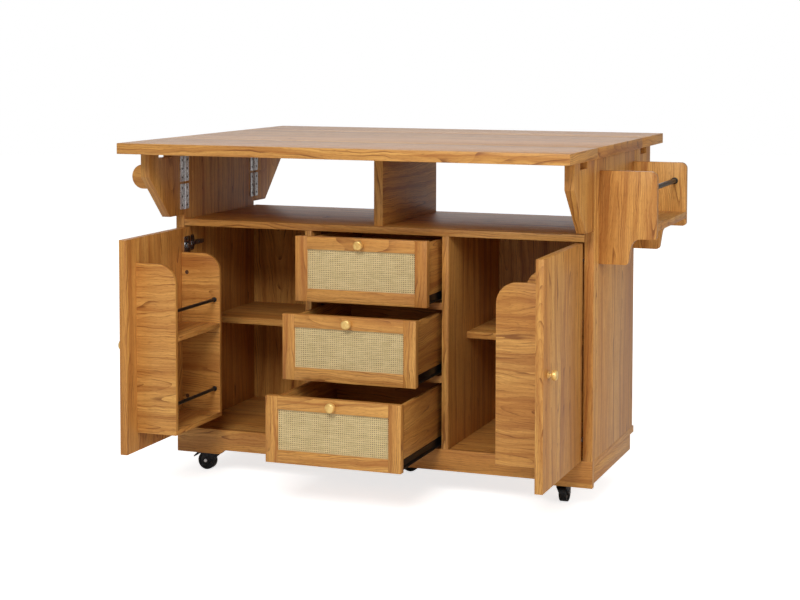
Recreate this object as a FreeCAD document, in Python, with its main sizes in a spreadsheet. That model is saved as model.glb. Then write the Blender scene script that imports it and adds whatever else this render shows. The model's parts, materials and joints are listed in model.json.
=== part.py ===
"""Kitchen island on casters: cupboards, cane drawers, folding brackets and side racks.

Millimetres, +Z up. The front of the case faces -Y and the floor is Z = 0. The
origin lies on the floor, under the middle of the whole island as it stands with
its doors open and its leaves up.
"""
import FreeCAD, Part
import os

import Sketcher

from FreeCAD import Placement, Rotation, Vector

doc = FreeCAD.newDocument("kitchen_island")

# ---------------------------------------------------------------- dimensions

DRIVING = [
    ("case_width", 1168, "side panel to side panel, outside"),
    ("case_depth", 440, "front plane to the back of the side panels"),
    ("worktop_height", 915, "floor to the top surface"),
    ("worktop", 28, "thickness of the top and its leaves"),
    ("panel", 25, "side panels, brackets and the centre divider"),
    ("board", 18, "inner boards"),
    ("top_side_overhang", 15, "top beyond the side panels"),
    ("top_overhang", 294, "front and back edges of the top beyond the case"),
    ("fixed_overhang", 30, "part of that overhang that doesn't fold"),
    ("seam", 0.3, "joint between the fixed top and a leaf"),
    ("base_top", 122, "floor to the cupboard floor"),
    ("foot_clear", 54, "floor to the feet of the apron"),
    ("apron_rise", 12, "arch of the apron above its feet"),
    ("foot_length", 128, "length of an apron foot"),
    ("arch_run", 15, "length of the sweep beside a foot"),
    ("arch_round", 7, "rounding where that sweep meets the arch"),
    ("skirt_clear", 64, "floor to the side skirts"),
    ("skirt_setback", 22, "back end of the skirts before the case's back"),
    ("open_height", 193, "clear height between the open shelf and the top"),
    ("back_reveal", 8, "back panel inside the side panels' outer faces"),
    ("middle_bay", 366, "clear width of the drawer bay"),
    ("divider_setback", 18, "centre divider behind the front plane"),
    ("mid_shelf_top", 407, "floor to the cupboard shelves"),
    ("mid_shelf_setback", 152, "cupboard shelves behind the front plane"),
    ("rail_depth", 60, "rails between the drawers"),
    ("bracket_length", 195, "bracket in front of the case"),
    ("bracket_height", 181, "bracket under the top"),
    ("bracket_nose", 66, "upright end of a bracket"),
    ("bracket_foot", 80, "level lower edge of a bracket"),
    ("bracket_gap", 1, "bracket to the case"),
    ("notch_start", 71, "notch in the bracket's top edge, from its hinge"),
    ("notch_length", 70, "length of that notch"),
    ("notch_depth", 20, "depth of that notch"),
    ("leaf_height", 69, "height of a butt hinge"),
    ("leaf_width", 24, "pin to the edge of a hinge leaf"),
    ("leaf_thick", 2, "thickness of a hinge leaf"),
    ("knuckle", 3, "radius of a hinge's barrel"),
    ("pin_play", 0.15, "play round a pin"),
    ("hinge_space", 7, "between the two hinges of a bracket"),
    ("hinge_inset", 15, "lower hinge above the bracket's lower edge"),
    ("flap_length", 90, "length of a hinge under a leaf"),
    ("flap_place", 250, "leaf hinges from the middle of the top"),
    ("door_thick", 20, "door board"),
    ("door_gap", 2, "gap round doors and drawer fronts"),
    ("door_pivot", 3, "door's turning axis, outside and ahead of its corner"),
    ("door_knob_inset", 41, "knob to the door's free edge"),
    ("rack_board", 12, "boards of the door racks"),
    ("rack_depth", 112, "door rack, from the door"),
    ("rack_low", 50, "underside of a door rack above the cupboard floor"),
    ("rack_high", 66, "top of a door rack below the open shelf's underside"),
    ("rack_hinge_side", 40, "rack to the door's hinge edge"),
    ("rack_free_side", 53, "rack to the door's free edge"),
    ("rack_round", 52, "rounded top corner of a rack's sides"),
    ("rack_shelf", 240, "upper rack shelf above the rack's underside"),
    ("rail_rod", 4.5, "radius of a door rack's rods"),
    ("rail_rod_rise", 63, "rod above its shelf"),
    ("rail_rod_inset", 15, "rod inside the rack's outer edge"),
    ("cup_radius", 17.5, "half the width of a concealed hinge's plate"),
    ("cup_edge", 4, "that plate to the door's hinge edge"),
    ("cup_plate", 50, "height of that plate"),
    ("hinge_metal", 2, "thickness of hinge plates"),
    ("door_hinge_inset", 48, "concealed hinge to the door's end"),
    ("arm_start", 23, "hinge arm behind the front plane"),
    ("arm_length", 72, "length of a hinge arm"),
    ("arm_height", 13, "height of a hinge arm"),
    ("arm_stand", 11, "hinge arm's reach off the side panel"),
    ("arm_plate", 34, "length of the arm's mounting plate"),
    ("arm_plate_height", 42, "height of that plate"),
    ("knob_radius", 12.5, "knob's head"),
    ("knob_head", 10, "thickness of a knob's head"),
    ("knob_stand", 22, "knob's reach"),
    ("knob_neck", 5, "radius of a knob's neck"),
    ("front_thick", 20, "drawer front"),
    ("front_frame", 33, "width of a drawer front's frame"),
    ("cane_setback", 5, "cane behind the front's face"),
    ("cane_thick", 3, "cane panel with its backing"),
    ("cane_lip", 6, "cane panel held in the frame, each side"),
    ("drawer_board", 12, "boards of a drawer box"),
    ("drawer_bottom", 5, "drawer bottom"),
    ("box_gap", 13, "drawer box to the bay's side"),
    ("box_low", 25, "drawer box above its front's lower edge"),
    ("box_high", 10, "drawer box below its front's upper edge"),
    ("box_clear", 20, "closed drawer box to the back panel"),
    ("bottom_rise", 10, "drawer bottom above its sides' lower edge"),
    ("open_top", 110, "top drawer, as it stands"),
    ("open_middle", 191, "middle drawer, as it stands"),
    ("open_bottom", 295, "bottom drawer, as it stands"),
    ("runner_metal", 1.5, "thickness of a drawer runner"),
    ("runner_height", 18, "height of a drawer's runner"),
    ("runner_play", 0.5, "play between two runners"),
    ("runner_shelf", 14, "runner under a drawer's side"),
    ("runner_short", 5, "runner shorter than the drawer box"),
    ("side_reach", 146, "side racks beyond the case"),
    ("spice_front", 51, "spice rack behind the front plane"),
    ("spice_back", 4, "spice rack before the case's back"),
    ("spice_drop", 62, "top surface to the spice rack's top"),
    ("spice_height", 236, "height of the spice rack"),
    ("spice_leg", 66, "step in its outline above its lower edge"),
    ("spice_narrow", 84, "reach of its narrow part at the step"),
    ("spice_toe", 74, "reach of its narrow part at the lower edge"),
    ("spice_corner", 16, "rounded upper corner"),
    ("spice_heel", 9, "rounded lower corners"),
    ("spice_sweep", 26, "hollow curve under the step"),
    ("spice_shelf_rise", 86, "underside of its shelf above its lower edge"),
    ("side_rod", 6.5, "radius of the side racks' rods"),
    ("side_rod_drop", 111, "top surface to those rods"),
    ("side_rod_inset", 31, "rods inside the racks' outer edge"),
    ("towel_front", 20, "towel bar behind the front plane"),
    ("towel_height", 67, "height of the towel bar's ends"),
    ("caster_height", 74, "floor to a caster's plate"),
    ("caster_side", 88, "swivel axis to the case's side"),
    ("caster_end", 45, "swivel axis to the case's front and back"),
    ("caster_plate", 44, "square mounting plate"),
    ("caster_metal", 2.5, "thickness of plate and fork"),
    ("wheel_radius", 25, "wheel"),
    ("wheel_width", 20, "wheel"),
    ("axle_radius", 3, "axle bolt"),
    ("trail", 18, "axle behind the swivel axis"),
    ("wheel_play", 0.8, "wheel to the fork, each side"),
    ("race_radius", 15, "ball race"),
    ("race_height", 5, "ball race"),
    ("race_play", 0.3, "fork to the ball race"),
    ("cheek_width", 32, "fork cheek at the top"),
    ("cheek_end", 9, "fork cheek round the axle"),
    ("cheek_bevel", 5, "bevelled foot of a cheek"),
    ("cheek_drop", 9, "depth of the cheek's square part"),
    ("pedal_pivot_out", 38, "pedal pivot behind the swivel axis"),
    ("pedal_pivot_high", 48, "floor to the pedal pivot"),
    ("pedal_ear", 4.5, "fork cheek round the pedal's pin"),
    ("pedal_boss", 4, "radius of the pedal's boss"),
    ("pedal_reach", 56, "pedal's tip behind the swivel axis"),
    ("pedal_drop", 14, "pedal's tip below its pivot"),
    ("pedal_thick", 4, "pedal at its tip"),
    ("pedal_width", 21, "pedal, between the fork's ears"),
    ("pedal_shoe", 4.8, "brake shoe below the pedal's pivot"),
    ("shoe_width", 4, "brake shoe along the tread"),
]

DERIVED = [
    ("half_case", "dims.case_width / 2"),
    ("inner_side", "half_case - dims.panel"),
    ("door_width", "inner_side - dims.middle_bay / 2 - dims.board - 2 * dims.door_gap"),
    ("front_reach", "2 * dims.door_pivot + door_width"),
    ("back_reach", "dims.case_depth + dims.top_overhang"),
    ("front", "(front_reach - back_reach) / 2"),
    ("top_low", "dims.worktop_height - dims.worktop"),
    ("shelf_top", "top_low - dims.open_height"),
    ("shelf_low", "shelf_top - dims.board"),
    ("bay_height", "shelf_low - dims.base_top"),
    ("bottom_low", "dims.base_top - dims.board"),
    ("divider_out", "dims.middle_bay / 2 + dims.board"),
    ("door_low", "dims.base_top + dims.door_gap"),
    ("door_height", "bay_height - 2 * dims.door_gap"),
    ("door_side", "inner_side - dims.door_gap"),
    ("door_inner", "door_side - dims.door_thick"),
    ("door_edge", "-2 * dims.door_pivot"),
    ("door_free", "door_edge - door_width"),
    ("front_height", "(bay_height - 2 * dims.board - 6 * dims.door_gap) / 3"),
    ("front_width", "dims.middle_bay - 2 * dims.door_gap"),
    ("drawer_step", "front_height + dims.board + 2 * dims.door_gap"),
    ("box_out", "dims.middle_bay / 2 - dims.box_gap"),
    ("box_length", "dims.case_depth - dims.front_thick - dims.box_clear"),
    ("runner_length", "box_length - dims.runner_short"),
    ("box_height", "front_height - dims.box_low - dims.box_high"),
    ("rack_base", "dims.base_top + dims.rack_low"),
    ("rack_top", "shelf_low - dims.rack_high"),
    ("rack_near", "door_free + dims.rack_free_side"),
    ("rack_far", "door_edge - dims.rack_hinge_side"),
    ("rack_out", "door_inner - dims.rack_depth"),
    ("bracket_low", "top_low - dims.bracket_height"),
    ("pin_side", "inner_side - dims.knuckle"),
    ("seam_front", "-dims.fixed_overhang"),
    ("leaf_board", "dims.top_overhang - dims.fixed_overhang - dims.seam"),
    ("top_width", "dims.case_width + 2 * dims.top_side_overhang"),
    ("spice_low", "dims.worktop_height - dims.spice_drop - dims.spice_height"),
    ("side_rod_height", "dims.worktop_height - dims.side_rod_drop"),
    ("spice_length", "dims.case_depth - dims.spice_front - dims.spice_back"),
    ("towel_length", "dims.case_depth - dims.towel_front - dims.spice_back"),
    ("rod_side", "half_case + dims.side_reach - dims.side_rod_inset"),
    ("crown_top", "dims.caster_height - dims.caster_metal - dims.race_height - dims.race_play"),
    ("fork_inner", "dims.wheel_width / 2 + dims.wheel_play"),
]


def make_sheet(name, rows):
    """A spreadsheet with one aliased cell per row, and a note beside it."""
    sheet = doc.addObject("Spreadsheet::Sheet", name)
    for line, (alias, value, note) in enumerate(rows, start=1):
        sheet.set("A%d" % line, str(value))
        sheet.setAlias("A%d" % line, alias)
        sheet.set("B%d" % line, note)
    return sheet


dims = make_sheet("dims", DRIVING)
layout = make_sheet("layout", [(alias, "=" + rule, alias.replace("_", " ")) for alias, rule in DERIVED])
doc.recompute()

PARTS = []


def value(rule):
    """What an expression over the two sheets comes to."""
    result = dims.evalExpression(str(rule))
    return float(getattr(result, "Value", result))


def put(item, x=0, y=0, z=0):
    """Places an object by expressions. y is counted from the case's front plane."""
    for name, rule in (("x", x), ("y", "layout.front + (%s)" % y), ("z", z)):
        item.setExpression("Placement.Base." + name, str(rule))
    return item


def shift(item, x=0, y=0, z=0):
    """Places an object by expressions in its own assembly's frame."""
    for name, rule in (("x", x), ("y", y), ("z", z)):
        item.setExpression("Placement.Base." + name, str(rule))
    return item


def bar(name, size_x, size_y, size_z):
    """A rectangular block with one corner at its origin."""
    block = doc.addObject("Part::Box", name)
    for prop, rule in (("Length", size_x), ("Width", size_y), ("Height", size_z)):
        block.setExpression(prop, str(rule))
    return block


def rod(name, radius, length, axis=Vector(0, 0, 1)):
    """A round bar that starts at its origin and runs along an axis."""
    cylinder = doc.addObject("Part::Cylinder", name)
    cylinder.setExpression("Radius", str(radius))
    cylinder.setExpression("Height", str(length))
    cylinder.Placement = Placement(Vector(), Rotation(Vector(0, 0, 1), axis))
    return cylinder


def join(name, pieces):
    """Welds pieces into one solid."""
    fusion = doc.addObject("Part::MultiFuse", name)
    fusion.Shapes = pieces
    fusion.Refine = True
    return fusion


def cut(name, base, tool):
    """Takes one shape out of another."""
    result = doc.addObject("Part::Cut", name)
    result.Base = base
    result.Tool = tool
    return result


def group(name, pieces):
    """Keeps pieces as separate solids of one sub-part."""
    compound = doc.addObject("Part::Compound", name)
    compound.Links = pieces
    return compound


def part(name, item):
    """Registers a finished sub-part under the name of its file."""
    item.Label = name
    PARTS.append(item)
    return item


PLANES = {
    "XY": ("XY_Plane", lambda u, v: Vector(u, v, 0), Vector(0, 0, 1), False),
    "XZ": ("XZ_Plane", lambda u, v: Vector(u, 0, v), Vector(0, 1, 0), True),
    "YZ": ("YZ_Plane", lambda u, v: Vector(0, u, v), Vector(1, 0, 0), False),
}
NEAR = 1e-4


def outline_sketch(body, plane, corners):
    """A closed polygon whose corners are held by expressions."""
    sketch = body.newObject("Sketcher::SketchObject", body.Name + "_outline")
    role = PLANES[plane][0]
    origin_plane = [item for item in body.Origin.OriginFeatures if item.Role == role][0]
    sketch.AttachmentSupport = (origin_plane, [""])
    sketch.MapMode = "FlatFace"
    points = [Vector(value(u), value(v), 0) for u, v, _ in corners]
    count = len(points)
    for index in range(count):
        sketch.addGeometry(Part.LineSegment(points[index], points[(index + 1) % count]), False)
    for index in range(count):
        sketch.addConstraint(Sketcher.Constraint("Coincident", index, 2, (index + 1) % count, 1))
    for index, (u, v, _) in enumerate(corners):
        for kind, rule, axis in (("DistanceX", u, -2), ("DistanceY", v, -1)):
            if rule == 0:
                sketch.addConstraint(Sketcher.Constraint("PointOnObject", index, 1, axis))
                continue
            number = sketch.addConstraint(Sketcher.Constraint(kind, -1, 1, index, 1, value(rule)))
            sketch.setExpression("Constraints[%d]" % number, str(rule))
    return sketch


def round_edges(body, base, radius, chosen):
    """Rounds the edges of a body's last feature that a test picks."""
    doc.recompute()
    names = ["Edge%d" % (number + 1) for number, edge in enumerate(base.Shape.Edges) if chosen(edge)]
    fillet = body.newObject("PartDesign::Fillet", body.Name + "_round")
    fillet.Base = (base, names)
    fillet.setExpression("Radius", str(radius))
    body.Tip = fillet
    return fillet


def profile(name, plane, corners, thickness):
    """A board sawn to an outline: corners are (u, v, rounding or 0) in its plane."""
    body = doc.addObject("PartDesign::Body", name)
    sketch = outline_sketch(body, plane, corners)
    to_space, normal, backwards = PLANES[plane][1:]
    pad = body.newObject("PartDesign::Pad", name + "_pad")
    pad.Profile = sketch
    pad.setExpression("Length", str(thickness))
    pad.Reversed = backwards
    sketch.Visibility = False
    body.Tip = pad
    last = pad
    radii = []
    for _, _, radius in corners:
        if radius != 0 and radius not in radii:
            radii.append(radius)
    for radius in radii:
        spots = [to_space(value(u), value(v)) for u, v, size in corners if size == radius]

        def runs_through(edge):
            ends = [vertex.Point for vertex in edge.Vertexes]
            if len(ends) != 2 or (ends[1] - ends[0]).cross(normal).Length > NEAR:
                return False
            return any((ends[0] - spot).cross(normal).Length < NEAR for spot in spots)

        last = round_edges(body, last, radius, runs_through)
    return body


def turned(name, corners):
    """A turned piece: corners are (radius, height, rounding or 0) about Z."""
    body = doc.addObject("PartDesign::Body", name)
    sketch = outline_sketch(body, "XZ", corners)
    turn = body.newObject("PartDesign::Revolution", name + "_turn")
    turn.Profile = sketch
    turn.ReferenceAxis = (sketch, ["V_Axis"])
    turn.Angle = 360
    sketch.Visibility = False
    body.Tip = turn
    last = turn
    radii = []
    for _, _, radius in corners:
        if radius != 0 and radius not in radii:
            radii.append(radius)
    for radius in radii:
        rings = [(value(u), value(v)) for u, v, size in corners if size == radius]

        def is_ring(edge):
            if not isinstance(edge.Curve, Part.Circle):
                return False
            height = edge.Curve.Center.z
            return any(abs(edge.Curve.Radius - r) < NEAR and abs(height - z) < NEAR for r, z in rings)

        last = round_edges(body, last, radius, is_ring)
    return body


def mirrored_pair(make):
    """Calls a maker for the left side (-1) and the right side (+1)."""
    return [make("left", -1), make("right", 1)]


def low_side(side, far, thick):
    """Low X of a piece whose outer face stands `far` from the middle plane."""
    return "-(%s)" % far if side < 0 else "(%s) - (%s)" % (far, thick)


# ---------------------------------------------------------------- case

def side_panel(label, side):
    panel = bar("side_panel_" + label, "dims.panel", "dims.case_depth", "layout.top_low - dims.base_top")
    put(panel, low_side(side, "layout.half_case", "dims.panel"), 0, "dims.base_top")
    return panel


part("side_panels", group("side_panels", mirrored_pair(side_panel)))


def bay_divider(label, side):
    board = bar("bay_divider_" + label, "dims.board", "dims.case_depth", "layout.bay_height")
    return put(board, low_side(side, "layout.divider_out", "dims.board"), 0, "dims.base_top")


centre_divider = bar("centre_divider", "dims.panel", "dims.case_depth - dims.divider_setback",
                     "dims.open_height")
put(centre_divider, "-dims.panel / 2", "dims.divider_setback", "layout.shelf_top")
part("dividers", group("dividers", mirrored_pair(bay_divider) + [centre_divider]))

main_shelf = bar("main_shelf", "2 * layout.inner_side", "dims.case_depth + dims.board", "dims.board")
part("main_shelf", put(main_shelf, "-layout.inner_side", 0, "layout.shelf_low"))

bottom_board = bar("bottom_board", "dims.case_width", "dims.case_depth", "dims.board")
part("bottom_board", put(bottom_board, "-layout.half_case", "dims.board", "layout.bottom_low"))

back_width = "dims.case_width - 2 * dims.back_reveal"
back_panel = bar("back_panel", back_width, "dims.board", "layout.bay_height")
part("back_panel", put(back_panel, "-(%s) / 2" % back_width, "dims.case_depth", "dims.base_top"))


def cupboard_shelf(label, side):
    width = "layout.inner_side - layout.divider_out"
    board = bar("cupboard_shelf_" + label, width, "dims.case_depth - dims.mid_shelf_setback", "dims.board")
    low = low_side(side, "layout.inner_side", width)
    return put(board, low, "dims.mid_shelf_setback", "dims.mid_shelf_top - dims.board")



def drawer_rail(number):
    rail = bar("drawer_rail_%d" % number, "dims.middle_bay", "dims.rail_depth", "dims.board")
    level = "dims.base_top + %d * layout.drawer_step - dims.board" % number
    return put(rail, "-dims.middle_bay / 2", 0, level)


part("inner_shelves", group("inner_shelves", mirrored_pair(cupboard_shelf) + [drawer_rail(1), drawer_rail(2)]))

# ---------------------------------------------------------------- top and leaves

tabletop = bar("tabletop", "layout.top_width", "dims.case_depth + 2 * dims.fixed_overhang", "dims.worktop")
part("tabletop", put(tabletop, "-layout.top_width / 2", "layout.seam_front", "layout.top_low"))


def leaf(label, start):
    board = bar("leaf_board_" + label, "layout.top_width", "layout.leaf_board", "dims.worktop")
    return put(board, "-layout.top_width / 2", start, "layout.top_low")


part("drop_leaves", group("drop_leaves", [
    leaf("front", "-dims.top_overhang"),
    leaf("back", "dims.case_depth + dims.fixed_overhang + dims.seam"),
]))

# ---------------------------------------------------------------- butt hinges
# A hinge stands on its pin axis, with its leaves against a face on its -X side. The
# leaf that runs to +Y is fixed and carries the barrel, the one that runs to -Y turns.

def fixed_leaf(name, length):
    """The leaf screwed to the case, with the barrel that the other one turns about."""
    low = "-(%s) / 2" % length
    plate = bar(name + "_plate", "dims.leaf_thick", "dims.leaf_width", length)
    barrel = rod(name + "_barrel", "dims.knuckle", length)
    return join(name, [shift(plate, "-dims.knuckle", 0, low), shift(barrel, 0, 0, low)])


def turning_leaf(name, length):
    """The leaf that turns, from the barrel's side outwards."""
    reach = "(dims.knuckle + dims.pin_play)"
    plate = bar(name, "dims.leaf_thick", "dims.leaf_width - %s" % reach, length)
    return shift(plate, "-dims.knuckle", "-dims.leaf_width", "-(%s) / 2" % length)


def copy_of(name, source):
    """Another of the same piece, to be placed by itself."""
    return group(name, [source])


bracket_leaf = turning_leaf("bracket_leaf", "dims.leaf_height")
panel_leaf = fixed_leaf("panel_leaf", "dims.leaf_height")
flap_turning = turning_leaf("flap_turning", "dims.flap_length")
flap_fixed = fixed_leaf("flap_fixed", "dims.flap_length")

UPRIGHT = Vector(0, 0, 1)
ALONG_X = Vector(1, 0, 0)
ALONG_Y = Vector(0, 1, 0)
HALF_TURN = 180
QUARTER_TURN = 90

# Left hinges have their face on the -X side. A half turn about Y gives the right
# ones, and a half turn about X sends the turning leaf to +Y.
CORNERS = [
    ("front_left", -1, 0, Rotation()),
    ("front_right", 1, 0, Rotation(ALONG_Y, HALF_TURN)),
    ("back_left", -1, "dims.case_depth", Rotation(ALONG_X, HALF_TURN)),
    ("back_right", 1, "dims.case_depth", Rotation(UPRIGHT, HALF_TURN)),
]
HINGE_LEVELS = [
    ("lower", "layout.bracket_low + dims.hinge_inset + dims.leaf_height / 2"),
    ("upper", "layout.bracket_low + dims.hinge_inset + 1.5 * dims.leaf_height + dims.hinge_space"),
]


def set_on_pin(item, side, depth, level, rotation):
    item.Placement = Placement(Vector(), rotation)
    return put(item, "%d * layout.pin_side" % side, depth, level)


# ---------------------------------------------------------------- brackets

plates = []
for label, side, depth, rotation in CORNERS:
    outline = [
        (0, 0, 0),
        ("dims.bracket_foot - dims.bracket_gap", 0, 0),
        ("dims.bracket_length - dims.bracket_gap", "dims.bracket_height - dims.bracket_nose", 0),
        ("dims.bracket_length - dims.bracket_gap", "dims.bracket_height", 0),
        ("dims.notch_start + dims.notch_length", "dims.bracket_height", 0),
        ("dims.notch_start + dims.notch_length", "dims.bracket_height - dims.notch_depth", 0),
        ("dims.notch_start", "dims.bracket_height - dims.notch_depth", 0),
        ("dims.notch_start", "dims.bracket_height", 0),
        (0, "dims.bracket_height", 0),
    ]
    board = profile("bracket_board_" + label, "YZ", outline, "dims.panel")
    outer = "%d * layout.half_case" % side
    if depth == 0:
        board.Placement = Placement(Vector(), Rotation(UPRIGHT, HALF_TURN))
        far_x = "%s + dims.panel" % outer if side < 0 else outer
        put(board, far_x, "-dims.bracket_gap", "layout.bracket_low")
    else:
        low_x = outer if side < 0 else "%s - dims.panel" % outer
        put(board, low_x, "%s + dims.bracket_gap" % depth, "layout.bracket_low")
    part("bracket_" + label, board)
    leaves = []
    for name, level in HINGE_LEVELS:
        tag = "%s_%s" % (label, name)
        leaves.append(set_on_pin(copy_of("turning_leaf_" + tag, bracket_leaf), side, depth, level, rotation))
        plates.append(set_on_pin(copy_of("fixed_leaf_" + tag, panel_leaf), side, depth, level, rotation))
    part("bracket_hinges_" + label, group("bracket_hinges_" + label, leaves))

# The hinges under the leaves lie on their backs, pin along X, leaves up against the wood.
for end, seam_at, spin in (("front", "layout.seam_front - dims.seam / 2", 0),
                           ("back", "dims.case_depth + dims.fixed_overhang + dims.seam / 2", HALF_TURN)):
    lying = Rotation(UPRIGHT, spin) * Rotation(ALONG_Y, QUARTER_TURN)
    for label, side in (("left", -1), ("right", 1)):
        for name, source in (("turning", flap_turning), ("fixed", flap_fixed)):
            piece = copy_of("flap_%s_%s_%s" % (name, end, label), source)
            piece.Placement = Placement(Vector(), lying)
            plates.append(put(piece, "%d * dims.flap_place" % side, seam_at, "layout.top_low - dims.knuckle"))
part("hinge_plates", group("hinge_plates", plates))

# ---------------------------------------------------------------- base

apron_height = "dims.base_top - dims.foot_clear"
foot_end = "dims.foot_length"
arch_end = "dims.foot_length + dims.arch_run"
far_end = "dims.case_width"
front_apron = profile("front_apron", "XZ", [
    (0, 0, 0),
    (foot_end, 0, 0),
    (arch_end, "dims.apron_rise", "dims.arch_round"),
    ("%s - (%s)" % (far_end, arch_end), "dims.apron_rise", "dims.arch_round"),
    ("%s - %s" % (far_end, foot_end), 0, 0),
    (far_end, 0, 0),
    (far_end, apron_height, 0),
    (0, apron_height, 0),
], "dims.board")
part("front_apron", put(front_apron, "-layout.half_case", 0, "dims.foot_clear"))

skirt_end = "dims.case_depth - dims.skirt_setback"


def side_skirt(label, side):
    board = bar("side_skirt_" + label, "dims.board", "%s - dims.board" % skirt_end,
                "layout.bottom_low - dims.skirt_clear")
    return put(board, low_side(side, "layout.half_case", "dims.board"), "dims.board", "dims.skirt_clear")


back_skirt = bar("back_skirt", "dims.case_width - 2 * dims.board", "dims.board",
                 "layout.bottom_low - dims.skirt_clear")
put(back_skirt, "-layout.half_case + dims.board", "%s - dims.board" % skirt_end, "dims.skirt_clear")
caster_side = "(layout.half_case - dims.caster_side)"
caster_back = "(dims.case_depth - dims.caster_end)"
caster_inner_back = "%s - dims.skirt_setback - dims.board" % caster_back
# Each caster's swivel axis, the turn of its fork, and the way it then trails.
CASTERS = [
    ("front_left", "-" + caster_side, "dims.caster_end", -QUARTER_TURN, (-1, 0)),
    ("front_right", caster_side, "dims.caster_end", HALF_TURN, (0, 1)),
    ("back_left", "-" + caster_side, caster_inner_back, 0, (0, -1)),
    ("back_right", caster_side, caster_inner_back, 0, (0, -1)),
    ("centre", "0", "dims.case_depth / 2", QUARTER_TURN, (1, 0)),
]
base_pieces = mirrored_pair(side_skirt) + [back_skirt]
for label, x, y, spin, way in CASTERS:
    block = bar("caster_block_" + label, "dims.caster_plate", "dims.caster_plate",
                "layout.bottom_low - dims.caster_height")
    put(block, "%s - dims.caster_plate / 2" % x, "%s - dims.caster_plate / 2" % y, "dims.caster_height")
    base_pieces.append(block)
part("base_frame", group("base_frame", base_pieces))

# ---------------------------------------------------------------- side racks

back_spot = "dims.case_depth - dims.spice_back - dims.board"
spice_outline = [
    (0, 0, 0),
    ("dims.spice_toe", 0, "dims.spice_heel"),
    ("dims.spice_narrow", "dims.spice_leg", "dims.spice_sweep"),
    ("dims.side_reach", "dims.spice_leg", "dims.spice_heel"),
    ("dims.side_reach", "dims.spice_height", "dims.spice_corner"),
    (0, "dims.spice_height", 0),
]
spice_pieces = []
for label, spot in (("front", "dims.spice_front"), ("back", back_spot)):
    board = profile("spice_board_" + label, "XZ", spice_outline, "dims.board")
    spice_pieces.append(put(board, "layout.half_case", spot, "layout.spice_low"))
spice_shelf = bar("spice_shelf", "dims.side_reach", "layout.spice_length - 2 * dims.board", "dims.board")
put(spice_shelf, "layout.half_case", "dims.spice_front + dims.board", "layout.spice_low + dims.spice_shelf_rise")
spice_pieces.append(spice_shelf)
part("spice_rack", group("spice_rack", spice_pieces))

towel_round = "dims.towel_height / 2"
towel_pieces = []
for label, spot in (("front", "dims.towel_front"), ("back", back_spot)):
    plank = bar("towel_plank_" + label, "dims.side_reach - %s" % towel_round, "dims.board", "dims.towel_height")
    shift(plank, "-(dims.side_reach - %s)" % towel_round, 0, "-%s" % towel_round)
    nose = rod("towel_nose_" + label, towel_round, "dims.board", ALONG_Y)
    shift(nose, "-(dims.side_reach - %s)" % towel_round, 0, 0)
    end = join("towel_end_" + label, [plank, nose])
    towel_pieces.append(put(end, "-layout.half_case", spot, "layout.side_rod_height"))
part("towel_ends", group("towel_ends", towel_pieces))

spice_rod = put(rod("spice_rod", "dims.side_rod", "layout.spice_length - 2 * dims.board", ALONG_Y),
                   "layout.rod_side", "dims.spice_front + dims.board", "layout.side_rod_height")
towel_rod = put(rod("towel_rod", "dims.side_rod", "layout.towel_length - 2 * dims.board", ALONG_Y),
                   "-layout.rod_side", "dims.towel_front + dims.board", "layout.side_rod_height")
part("rack_rods", group("rack_rods", [spice_rod, towel_rod]))

# ---------------------------------------------------------------- knobs

knob = turned("knob", [
    (0, 0, 0),
    ("dims.knob_neck", 0, 0),
    ("dims.knob_neck", "dims.knob_stand - dims.knob_head", 0),
    ("dims.knob_radius", "dims.knob_stand - dims.knob_head", 0),
    ("dims.knob_radius", "dims.knob_stand", 0),
    (0, "dims.knob_stand", 0),
])

# ---------------------------------------------------------------- doors
# They are drawn open, square to the front, as they stand in the frame.

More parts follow.
